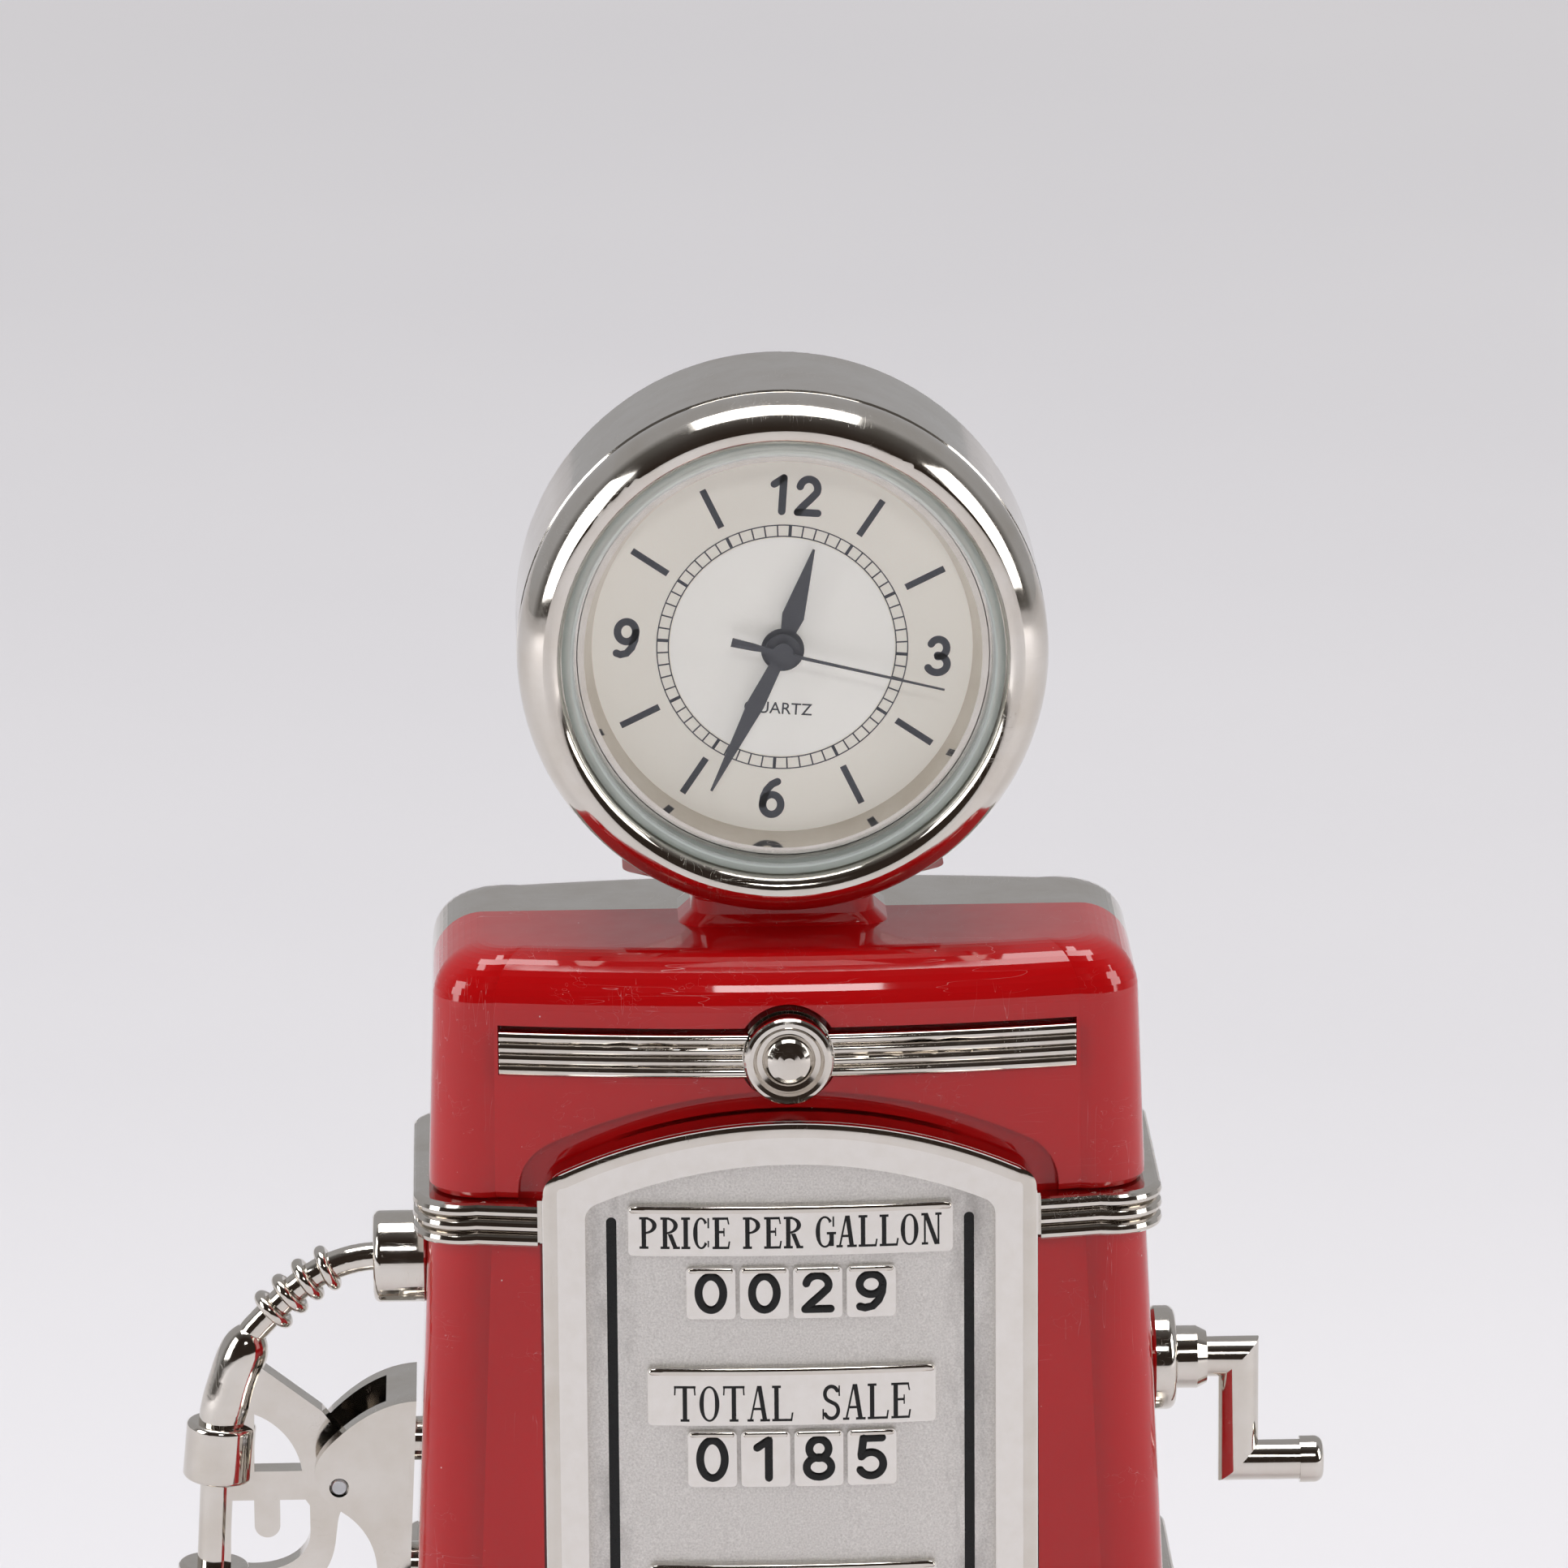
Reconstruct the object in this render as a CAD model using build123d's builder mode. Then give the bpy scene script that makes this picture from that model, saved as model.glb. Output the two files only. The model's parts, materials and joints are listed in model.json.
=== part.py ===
from build123d import *
import math
import os

os.makedirs("parts", exist_ok=True)

# Miniature service station pump clock. Millimetres, +X to the viewer's right, +Y to the
# back, +Z up, origin at the bottom centre of the base.

# ---------------------------------------------------------------- driving dimensions
SEAM_Y = 0.95            # joint plane between the lacquered front and the plated rear
FACE_R = 88.0            # plan radius of the slightly bowed front and rear panels
LOBE_RUN = 2.6           # depth of a rounded corner column, from its crease to the flat side

PLINTH_TOP = 4.0
LOW_BELT_BOTTOM, LOW_BELT_TOP = 21.6, 24.0
BODY_TOP = 45.6
BELT_TOP = 48.0
CAP_TOP = 61.4
RIB_PITCH = 0.8

CAVITY_X, CAVITY_Y = 33.8, 13.8      # hollow of the lower body
CAP_CAVITY_X, CAP_CAVITY_Y = 31.4, 11.4

CLOCK_Z = 77.2           # height of the dial centre
BEZEL_OR = 14.1
HOUSING_BORE_R = 12.75
HOUSING_FRONT, HOUSING_BACK = -4.8, 5.5
DIAL_TURN = 4.2          # the insert sits turned this much clockwise in its housing
HOUR_ANGLE, MINUTE_ANGLE, SECOND_ANGLE = 17.3, 207.0, 103.8   # clockwise from twelve

PLATE_HALF_W = 13.2
PLATE_ARCH_TOP = 53.05
PLATE_ARCH_R = 27.2
PLATE_BOTTOM = 18.6
PLATE_FRONT = 11.8       # reach of the polished rim in front of the origin
PANEL_FRONT = 11.35

MEDAL_Z = 56.2
BAR_BOTTOM, BAR_TOP = 55.05, 57.45
BAR_HALF_W = 15.3

CRANK_Z = 35.8
CRANK_DROP = 6.0
BOOT_Z = 42.3
PIN_X, PIN_Z = -24.4, 30.2
PIN_R, PIN_HOLE_R = 0.46, 0.54

CASE_SCREWS = [(-13.5, 17.5), (13.5, 17.5), (-13.5, 41.0), (13.5, 41.0)]   # x, z
CAP_SCREWS = [(-12.0, 54.0), (12.0, 54.0)]
BASE_SCREWS = [(-13.2, -4.6), (13.2, -4.6), (-13.2, 4.6), (13.2, 4.6)]     # x, y
BRACKET_SCREWS_Z = (25.2, 32.4)


# ---------------------------------------------------------------- shared geometry
def plan_outline(w, f, c, run=LOBE_RUN):
    """Plan of the case at one height: half width w, front reach f, creases at x = +/-c."""
    y = f - (FACE_R - math.sqrt(FACE_R**2 - c**2))
    dx = w - c
    r = (dx * dx + run * run) / (2 * dx)
    cx, cy = w - r, y - run
    a = math.atan2(run, c - cx) / 2
    mx, my = cx + r * math.cos(a), cy + r * math.sin(a)
    with BuildSketch() as outline:
        with BuildLine():
            ThreePointArc((-c, -y), (0, -f), (c, -y))
            ThreePointArc((c, -y), (mx, -my), (w, -cy))
            Line((w, -cy), (w, cy))
            ThreePointArc((w, cy), (mx, my), (c, y))
            ThreePointArc((c, y), (0, f), (-c, y))
            ThreePointArc((-c, y), (-mx, my), (-w, cy))
            Line((-w, cy), (-w, -cy))
            ThreePointArc((-w, -cy), (-mx, -my), (-c, -y))
        make_face()
    return outline.sketch


def stacked(levels):
    """Solid through plan outlines given as (z, half width, front reach, crease x, lobe run)."""
    with BuildPart() as body:
        for z, w, f, c, run in levels:
            with BuildSketch(Plane.XY.offset(z)):
                add(plan_outline(w, f, c, run))
        loft(ruled=True)
    return body.part


def bowed_front(front, back=5.0):
    """Plan region behind a bowed face that reaches y = -front on the centre line."""
    h = 20.0
    s = FACE_R - math.sqrt(FACE_R**2 - h**2)
    with BuildSketch() as region:
        with BuildLine():
            ThreePointArc((-h, -front + s), (0, -front), (h, -front + s))
            Polyline((h, -front + s), (h, -back), (-h, -back), (-h, -front + s))
        make_face()
    return region.sketch


def arch_outline(half_w, top, radius, bottom, shoulder):
    """Upright plate with an arched top and rounded shoulders, drawn in x and z."""
    zc = top - radius
    zs = zc + math.sqrt(radius**2 - half_w**2)
    with BuildSketch() as outline:
        with BuildLine():
            Line((-half_w, bottom), (half_w, bottom))
            Line((half_w, bottom), (half_w, zs))
            ThreePointArc((half_w, zs), (0, top), (-half_w, zs))
            Line((-half_w, zs), (-half_w, bottom))
        make_face()
        fillet(outline.vertices().group_by(Axis.Y)[-1], shoulder)
    return outline.sketch


def arched_slab(sketch, front, back):
    """The sketch of an upright plate made solid from y = -back to a bowed face at -front."""
    with BuildPart() as slab:
        with BuildSketch(Plane.XZ.offset(back)):
            add(sketch)
        extrude(amount=front - back + 1)
        with BuildSketch(Plane.XY):
            add(bowed_front(front))
        extrude(amount=70, mode=Mode.INTERSECT)
    return slab.part


def bowed_bar_plane(face, half_w):
    """Plane for a cross-section at the left end of a bar that follows the bowed panel."""
    a = math.asin(half_w / FACE_R)
    return Plane(
        origin=(0, FACE_R - face, 0),
        x_dir=(-math.sin(a), -math.cos(a), 0),
        z_dir=(-math.cos(a), math.sin(a), 0),
    )


def turned_profile(*pts):
    with BuildSketch() as profile:
        with BuildLine():
            Polyline(*pts, close=True)
        make_face()
    return profile.sketch


def gear_outline(teeth, module):
    """Simple train wheel with pointed-flat teeth."""
    root, tip = module * (teeth / 2 - 1.2), module * (teeth / 2 + 0.9)
    pts = []
    for i in range(teeth):
        for r, f in ((root, -0.25), (root, -0.2), (tip, -0.09), (tip, 0.09), (root, 0.2)):
            a = 2 * math.pi * (i + f + 0.0) / teeth
            pts.append((r * math.cos(a), r * math.sin(a)))
    with BuildSketch() as wheel:
        with BuildLine():
            Polyline(*pts, close=True)
        make_face()
    return wheel.sketch


def clock_dir(deg):
    """Unit x, z direction of a clock angle counted clockwise from the top."""
    return math.sin(math.radians(deg)), math.cos(math.radians(deg))


# Sketch plane of the clock head: local x and y are the row's X and Z, local z faces the viewer.
DIAL = Plane(origin=(0, 0, CLOCK_Z), x_dir=(1, 0, 0), z_dir=(0, -1, 0))
# Profile plane of turned clock parts: local x is the radius, local y is the reach to the front.
PROFILE = Plane(origin=(0, 0, CLOCK_Z), x_dir=(1, 0, 0), z_dir=(0, 0, -1))
CLOCK_AXIS = Axis((0, 0, CLOCK_Z), (0, 1, 0))


def body_level(z):
    """Half width, front reach and crease of the tapering lower body at height z."""
    t = (BODY_TOP - z) / (BODY_TOP - PLINTH_TOP)
    return 19.3 + 1.9 * t, 9.9 + 1.9 * t, 15.9 + 1.8 * t


LOWER_LEVELS = [(z, *body_level(z), LOBE_RUN) for z in (PLINTH_TOP, BODY_TOP)]

CAP_ROUND = 2.8
CAP_LEVELS = [
    (BELT_TOP, 18.75, 9.35, 15.45, 2.5),
    (BELT_TOP + 0.12, 19.0, 9.55, 15.58, 2.55),
    (BELT_TOP + 0.45, 19.22, 9.72, 15.68, LOBE_RUN),
    (CAP_TOP - CAP_ROUND, 18.85, 9.75, 15.6, LOBE_RUN),
]
for k in range(1, 13):
    a = math.radians(90 * k / 12)
    i = CAP_ROUND * (1 - math.cos(a))
    CAP_LEVELS.append(
        (CAP_TOP - CAP_ROUND + CAP_ROUND * math.sin(a), 18.85 - i, 9.75 - i, 15.6 - 0.62 * i, LOBE_RUN - 0.42 * i)
    )

plate_shape = arch_outline(PLATE_HALF_W, PLATE_ARCH_TOP, PLATE_ARCH_R, PLATE_BOTTOM, 2.0)
pocket_shape = arch_outline(
    PLATE_HALF_W + 0.12, PLATE_ARCH_TOP + 0.12, PLATE_ARCH_R + 0.12, PLATE_BOTTOM - 0.12, 2.1
)
step_shape = arch_outline(
    PLATE_HALF_W + 1.25, PLATE_ARCH_TOP + 1.2, PLATE_ARCH_R + 1.2, PLATE_BOTTOM - 0.12, 3.0
)
plate_pocket = arched_slab(pocket_shape, 14.0, 8.7)
with BuildPart() as arch_step:
    with BuildSketch(Plane.XZ.offset(7.0)):
        add(step_shape)
    extrude(amount=8)
    with BuildSketch(Plane.XY):
        add(bowed_front(9.2))
    extrude(amount=70, mode=Mode.SUBTRACT)

# ---------------------------------------------------------------- lower body castings
with BuildPart() as front_shell:
    add(stacked(LOWER_LEVELS))
    split(bisect_by=Plane.XZ.offset(-SEAM_Y), keep=Keep.TOP)
    with Locations((0, 0, (PLINTH_TOP + BODY_TOP) / 2)):
        Box(CAVITY_X, CAVITY_Y, 60, mode=Mode.SUBTRACT)
    # screw posts behind the front wall and base posts in the corners
    with BuildSketch(Plane.XZ.offset(-SEAM_Y)):
        with Locations(*CASE_SCREWS):
            Circle(2.0)
    extrude(amount=8.1)
    with BuildSketch(Plane.XY.offset(PLINTH_TOP)):
        with Locations((-13.2, -5.0), (13.2, -5.0)):
            Rectangle(4.4, 4.4)
    extrude(amount=9)
    with BuildSketch(Plane.XZ.offset(-SEAM_Y)):
        with Locations(*CASE_SCREWS):
            Circle(0.9)
    extrude(amount=6.0, mode=Mode.SUBTRACT)
    with BuildSketch(Plane.XY.offset(PLINTH_TOP)):
        with Locations(*BASE_SCREWS[:2]):
            Circle(0.9)
    extrude(amount=7, mode=Mode.SUBTRACT)
    add(plate_pocket, mode=Mode.SUBTRACT)
    # faceplate studs, boot stud, bracket screws and crank bore
    with BuildSketch(Plane.XZ):
        with Locations((-8, 26), (8, 26), (-8, 43), (8, 43)):
            Circle(0.75)
    extrude(amount=9, mode=Mode.SUBTRACT)
    with BuildSketch(Plane.YZ):
        with Locations((0, BOOT_Z)):
            Circle(0.8)
        with Locations(*[(-1.6, z) for z in BRACKET_SCREWS_Z]):
            Circle(0.7)
    extrude(amount=-22, mode=Mode.SUBTRACT)
    with BuildSketch(Plane.YZ):
        with Locations((0, CRANK_Z)):
            Circle(1.2)
    extrude(amount=22, mode=Mode.SUBTRACT)
front_shell.part.label = "front_shell"

with BuildPart() as rear_shell:
    add(stacked(LOWER_LEVELS))
    split(bisect_by=Plane.XZ.offset(-SEAM_Y), keep=Keep.BOTTOM)
    with Locations((0, 0, (PLINTH_TOP + BODY_TOP) / 2)):
        Box(CAVITY_X, CAVITY_Y, 60, mode=Mode.SUBTRACT)
    with BuildSketch(Plane.XZ.offset(-SEAM_Y)):
        with Locations(*CASE_SCREWS):
            Circle(2.0)
    extrude(amount=-6.6)
    with BuildSketch(Plane.XY.offset(PLINTH_TOP)):
        with Locations((-13.2, 5.0), (13.2, 5.0)):
            Rectangle(4.4, 4.4)
    extrude(amount=9)
    with BuildSketch(Plane.XZ):
        with Locations(*CASE_SCREWS):
            Circle(1.05)
    extrude(amount=-14, mode=Mode.SUBTRACT)
    with BuildSketch(Plane.XZ.offset(-7.9)):
        with Locations(*CASE_SCREWS):
            Circle(1.95)
    extrude(amount=-8, mode=Mode.SUBTRACT)
    with BuildSketch(Plane.XY.offset(PLINTH_TOP)):
        with Locations(*BASE_SCREWS[2:]):
            Circle(0.9)
    extrude(amount=7, mode=Mode.SUBTRACT)
    with BuildSketch(Plane.YZ):
        with Locations((0, CRANK_Z)):
            Circle(1.2)
    extrude(amount=22, mode=Mode.SUBTRACT)
    # hose grommet hole on the left side
    with BuildSketch(Plane.YZ):
        with Locations((4.6, 20.4)):
            Circle(1.75)
    extrude(amount=-22, mode=Mode.SUBTRACT)
rear_shell.part.label = "rear_shell"

# ---------------------------------------------------------------- ribbed belts
def ribbed_levels(bottom, w, f, c):
    levels = []
    for k in range(3):
        z = bottom + k * RIB_PITCH
        for dz, i in ((0.0, 0.34), (0.08, 0.17), (0.2, 0.05), (0.4, 0.0), (0.6, 0.05), (0.72, 0.17)):
            levels.append((z + dz, w - i, f - i, c - 0.3 * i, LOBE_RUN - 0.1 * i))
    levels.append((bottom + 3 * RIB_PITCH, w - 0.34, f - 0.34, c - 0.1, LOBE_RUN - 0.03))
    return levels


with BuildPart() as upper_belt:
    add(stacked(ribbed_levels(BODY_TOP, 20.1, 10.7, 16.7)))
    with Locations((0, 0, BODY_TOP)):
        Box(CAVITY_X, CAVITY_Y, 20, mode=Mode.SUBTRACT)
    with Locations((0, -12, BODY_TOP)):
        Box(2 * (PLATE_HALF_W + 0.25), 6.7, 20, mode=Mode.SUBTRACT)
upper_belt.part.label = "upper_belt"

with BuildPart() as lower_belt:
    add(stacked(ribbed_levels(LOW_BELT_BOTTOM, 21.25, 11.85, 17.75)))
    add(stacked(LOWER_LEVELS), mode=Mode.SUBTRACT)
    with Locations((0, -12, LOW_BELT_BOTTOM)):
        Box(2 * (PLATE_HALF_W + 0.25), 6.7, 20, mode=Mode.SUBTRACT)
    # passage for the hose grommet and the holster foot
    with Locations((-21, 4.6, 20.4)):
        Box(5, 5.6, 5.6, mode=Mode.SUBTRACT)
lower_belt.part.label = "lower_belt"

# ---------------------------------------------------------------- cap halves with the neck
with BuildPart() as neck_form:
    for z, hx, y0, y1 in (
        (CAP_TOP - 0.6, 6.3, -3.2, 4.6),
        (CAP_TOP + 0.15, 5.45, -2.75, 4.1),
        (CAP_TOP + 0.6, 4.95, -2.55, 3.9),
        (CAP_TOP + 1.3, 4.85, -2.5, 3.85),
        (CAP_TOP + 2.0, 5.4, -2.75, 4.05),
        (CAP_TOP + 2.6, 6.6, -3.2, 4.5),
        (CAP_TOP + 3.3, 8.6, -3.9, 5.1),
    ):
        with BuildSketch(Plane.XY.offset(z)):
            with Locations((0, (y0 + y1) / 2)):
                RectangleRounded(2 * hx, y1 - y0, 1.4)
    loft(ruled=True)
    with BuildSketch(Plane.XZ.offset(10)):
        with Locations((0, CLOCK_Z)):
            Circle(BEZEL_OR)
    extrude(amount=-20, mode=Mode.SUBTRACT)
    with BuildSketch(Plane.XZ.offset(10)):
        with Locations((0, CLOCK_Z + 12.3)):
            Rectangle(40, 20)
    extrude(amount=-20, mode=Mode.SUBTRACT)


def cap_solid(keep):
    with BuildPart() as cap:
        add(stacked(CAP_LEVELS))
        add(neck_form.part)
        with Locations((0, 0, 46.7)):
            Box(33.4, 13.4, 2.8)
        split(bisect_by=Plane.XZ.offset(-SEAM_Y), keep=keep)
        with Locations((0, 0, (45 + CAP_TOP - 1.9) / 2)):
            Box(CAP_CAVITY_X, CAP_CAVITY_Y, CAP_TOP - 1.9 - 45, mode=Mode.SUBTRACT)
    return cap.part


with BuildPart() as cap_front:
    add(cap_solid(Keep.TOP))
    with BuildSketch(Plane.XZ.offset(-SEAM_Y)):
        with Locations(*CAP_SCREWS):
            Circle(1.8)
    extrude(amount=7)
    with BuildSketch(Plane.XZ.offset(-SEAM_Y)):
        with Locations(*CAP_SCREWS):
            Circle(0.9)
    extrude(amount=5.0, mode=Mode.SUBTRACT)
    add(plate_pocket, mode=Mode.SUBTRACT)
    add(arch_step.part, mode=Mode.SUBTRACT)
    # recess for the trim bar, with the round clearance over the medallion
    with BuildSketch(bowed_bar_plane(9.75, BAR_HALF_W + 0.12)):
        with Locations((FACE_R - 0.25, (BAR_BOTTOM + BAR_TOP) / 2 + 0.1)):
            Rectangle(1.5, BAR_TOP - BAR_BOTTOM + 0.34)
    revolve(
        axis=Axis((0, FACE_R - 9.75, 0), (0, 0, 1)),
        revolution_arc=2 * math.degrees(math.asin((BAR_HALF_W + 0.12) / FACE_R)),
        mode=Mode.SUBTRACT,
    )
    with BuildSketch(Plane.XZ.offset(8.75)):
        with Locations((0, MEDAL_Z + 0.1)):
            Circle(2.72)
    extrude(amount=4, mode=Mode.SUBTRACT)
    with BuildSketch(Plane.XZ):
        with Locations((-7, 56.25), (7, 56.25)):
            Circle(0.75)
    extrude(amount=9.5, mode=Mode.SUBTRACT)
cap_front.part.label = "cap_front"

with BuildPart() as cap_rear:
    add(cap_solid(Keep.BOTTOM))
    with BuildSketch(Plane.XZ.offset(-SEAM_Y)):
        with Locations(*CAP_SCREWS):
            Circle(1.8)
    extrude(amount=-5.6)
    with BuildSketch(Plane.XZ):
        with Locations(*CAP_SCREWS):
            Circle(1.05)
    extrude(amount=-14, mode=Mode.SUBTRACT)
    with BuildSketch(Plane.XZ.offset(-7.4)):
        with Locations(*CAP_SCREWS):
            Circle(1.95)
    extrude(amount=-8, mode=Mode.SUBTRACT)
    with BuildSketch(Plane.XY.offset(55)):
        with Locations((0, 2.6)):
            Circle(1.05)
    extrude(amount=10, mode=Mode.SUBTRACT)
cap_rear.part.label = "cap_rear"


# ---------------------------------------------------------------- screws
def pan_screw(head_r, head_h, shank_r, length):
    """Crosshead screw with its head from z = 0 to head_h and its shank below."""
    with BuildPart() as screw:
        with BuildSketch():
            Circle(head_r)
        extrude(amount=head_h)
        fillet(screw.edges().group_by(Axis.Z)[-1], head_h * 0.45)
        with BuildSketch():
            Circle(shank_r)
        extrude(amount=-length)
        with BuildSketch(Plane.XY.offset(head_h)):
            Rectangle(head_r * 1.2, head_r * 0.3)
            Rectangle(head_r * 0.3, head_r * 1.2)
        extrude(amount=-head_h * 0.6, mode=Mode.SUBTRACT)
    return screw.part


def screws_at(screw, planes):
    with BuildPart() as group:
        for p in planes:
            add(screw.located(p.location))
    return group.part


with BuildPart() as case_screws:
    add(screws_at(pan_screw(1.75, 1.0, 0.88, 12.0), [Plane((x, 7.9, z), z_dir=(0, 1, 0)) for x, z in CASE_SCREWS]))
case_screws.part.label = "case_screws"

with BuildPart() as cap_screws:
    add(screws_at(pan_screw(1.75, 0.95, 0.88, 10.5), [Plane((x, 7.4, z), z_dir=(0, 1, 0)) for x, z in CAP_SCREWS]))
cap_screws.part.label = "cap_screws"

with BuildPart() as base_screws:
    add(screws_at(pan_screw(1.75, 0.9, 0.88, 7.5), [Plane((x, y, 2.0), z_dir=(0, 0, -1)) for x, y in BASE_SCREWS]))
base_screws.part.label = "base_screws"

with BuildPart() as head_screw:
    add(screws_at(pan_screw(1.9, 1.2, 0.98, 5.3), [Plane((0, 2.6, CAP_TOP - 1.9), z_dir=(0, 0, -1))]))
head_screw.part.label = "head_screw"

with BuildPart() as bracket_screws:
    add(
        screws_at(
            pan_screw(1.3, 0.8, 0.62, 4.6),
            [Plane((-CAVITY_X / 2, -1.6, z), z_dir=(1, 0, 0)) for z in BRACKET_SCREWS_Z],
        )
    )
bracket_screws.part.label = "bracket_screws"

# ---------------------------------------------------------------- base
with BuildPart() as plinth:
    add(
        stacked(
            [
                (0.8, 22.5, 13.1, 18.9, 2.7),
                (2.5, 22.5, 13.1, 18.9, 2.7),
                (2.85, 22.38, 12.98, 18.85, 2.69),
                (3.1, 22.1, 12.7, 18.75, 2.66),
                (3.12, 21.75, 12.35, 18.4, 2.65),
                (3.8, 21.7, 12.3, 18.35, 2.65),
                (PLINTH_TOP, 21.5, 12.1, 18.2, 2.62),
            ]
        )
    )
    with BuildSketch(Plane.XY.offset(0.8)):
        with Locations(*BASE_SCREWS):
            Circle(1.95)
    extrude(amount=1.2, mode=Mode.SUBTRACT)
    with BuildSketch(Plane.XY.offset(0.8)):
        with Locations(*BASE_SCREWS):
            Circle(1.05)
    extrude(amount=5, mode=Mode.SUBTRACT)
    # lightening pocket on the inside
    with BuildSketch(Plane.XY.offset(2.2)):
        Rectangle(20, 12)
    extrude(amount=3, mode=Mode.SUBTRACT)
plinth.part.label = "plinth"

with BuildPart() as base_pad:
    with BuildSketch():
        add(plan_outline(22.0, 12.6, 18.4, 2.6))
    extrude(amount=0.8)
base_pad.part.label = "base_pad"

# ---------------------------------------------------------------- faceplate
inner_shape = arch_outline(PLATE_HALF_W - 2.27, PLATE_ARCH_TOP - 2.27, PLATE_ARCH_R - 2.27, PLATE_BOTTOM + 2.27, 1.0)

LABELS = [(17.3, 45.70, 48.45), (15.4, 36.2, 39.4), (15.4, 25.3, 28.3)]     # width, bottom, top
CELLS = [(42.15, 45.0), (32.7, 35.8), (21.8, 24.7)]
CELL_W, CELL_PITCH = 2.62, 2.85

with BuildPart() as faceplate:
    add(arched_slab(plate_shape, PANEL_FRONT, 8.8))
    with BuildPart(mode=Mode.PRIVATE) as rim:
        with BuildSketch(Plane.XZ.offset(10.0)):
            add(plate_shape)
            add(inner_shape, mode=Mode.SUBTRACT)
        extrude(amount=3)
        with BuildSketch(Plane.XY):
            add(bowed_front(PLATE_FRONT))
        extrude(amount=70, mode=Mode.INTERSECT)
    add(rim.part)
faceplate_base = faceplate.part

with BuildSketch() as label_shapes:
    for wd, lo, hi in LABELS:
        with Locations((0, (lo + hi) / 2)):
            RectangleRounded(wd, hi - lo, 0.25)
with BuildSketch() as cell_shapes:
    for lo, hi in CELLS:
        with Locations((0, (lo + hi) / 2)):
            with GridLocations(CELL_PITCH, 1, 4, 1):
                RectangleRounded(CELL_W, hi - lo, 0.25)
with BuildSketch() as groove_shapes:
    with Locations((-9.53, 34.2), (9.53, 34.2)):
        SlotOverall(27.0, 0.55, rotation=90)

with BuildPart() as faceplate:
    add(faceplate_base)
    add(arched_slab(label_shapes.sketch, PANEL_FRONT + 0.4, 9.5))
    add(arched_slab(cell_shapes.sketch, PANEL_FRONT + 0.3, 9.5))
    with BuildSketch(Plane.XZ.offset(PANEL_FRONT - 0.78)):
        add(groove_shapes.sketch)
    extrude(amount=3, mode=Mode.SUBTRACT)
    with BuildSketch(Plane.XZ.offset(8.9)):
        with Locations((-8, 26), (8, 26), (-8, 43), (8, 43)):
            Circle(0.7)
    extrude(amount=-3.4)
faceplate.part.label = "faceplate"

with BuildPart() as slot_inlays:
    add(arched_slab(groove_shapes.sketch, PANEL_FRONT - 0.12, PANEL_FRONT - 0.78))
slot_inlays.part.label = "slot_inlays"

with BuildPart() as faceplate_nuts:
    with BuildSketch(Plane.XZ.offset(CAVITY_Y / 2 - 0.02)):
        with Locations((-8, 26), (8, 26), (-8, 43), (8, 43)):
            Circle(1.8)
            Circle(0.71, mode=Mode.SUBTRACT)
    extrude(amount=-0.45)
faceplate_nuts.part.label = "faceplate_nuts"

# ---------------------------------------------------------------- trim bar and medallion
with BuildPart() as trim_bar:
    with BuildSketch(bowed_bar_plane(9.75, BAR_HALF_W)):
        with BuildLine():
            back, base, crest = FACE_R - 0.95, FACE_R + 0.12, FACE_R + 0.42
            z0, p = BAR_BOTTOM, (BAR_TOP - BAR_BOTTOM) / 4
            Line((base, z0), (back, z0))
            Line((back, z0), (back, BAR_TOP))
            Line((back, BAR_TOP), (base, BAR_TOP))
            for k in range(4):
                ThreePointArc((base, z0 + k * p), (crest, z0 + (k + 0.5) * p), (base, z0 + (k + 1) * p))
        make_face()
    revolve(
        axis=Axis((0, FACE_R - 9.75, 0), (0, 0, 1)),
        revolution_arc=2 * math.degrees(math.asin(BAR_HALF_W / FACE_R)),
    )
    # disc that carries the medallion
    with BuildSketch(Plane.XZ.offset(8.8)):
        with Locations((0, MEDAL_Z)):
            Circle(2.5)
    extrude(amount=0.9)
    with BuildSketch(Plane.XZ.offset(9.4)):
        with Locations((0, MEDAL_Z)):
            Circle(2.45)
    extrude(amount=3, mode=Mode.SUBTRACT)
    with BuildSketch(Plane.XZ.offset(8.9)):
        with Locations((-7, 56.25), (7, 56.25)):
            Circle(0.7)
    extrude(amount=-4.2)
trim_bar.part.label = "trim_bar"

medal_rim = [
    (2.4, 9.4), (2.4, 10.72), (2.37, 10.87), (2.28, 10.98), (2.12, 11.05),
    (1.9, 11.0), (1.78, 10.84), (1.7, 10.72), (1.42, 10.66),
]
medal_dome = [
    (1.3 * math.cos(math.radians(a)), 10.78 + 0.64 * math.sin(math.radians(a))) for a in (0, 15, 30, 45, 60, 75)
]
with BuildPart() as medallion:
    with BuildSketch(Plane(origin=(0, 0, MEDAL_Z), x_dir=(1, 0, 0), z_dir=(0, 0, -1))):
        with BuildLine():
            Polyline((0, 9.4), *medal_rim, *medal_dome, (0.12, 11.418), (0, 11.418), close=True)
        make_face()
    revolve(axis=Axis((0, 0, MEDAL_Z), (0, 1, 0)))
medallion.part.label = "medallion"

with BuildPart() as trim_nuts:
    with BuildSketch(Plane.XZ.offset(CAP_CAVITY_Y / 2 - 0.02)):
        with Locations((-7, 56.25), (7, 56.25)):
            Circle(1.8)
            Circle(0.71, mode=Mode.SUBTRACT)
    extrude(amount=-0.45)
trim_nuts.part.label = "trim_nuts"

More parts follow.
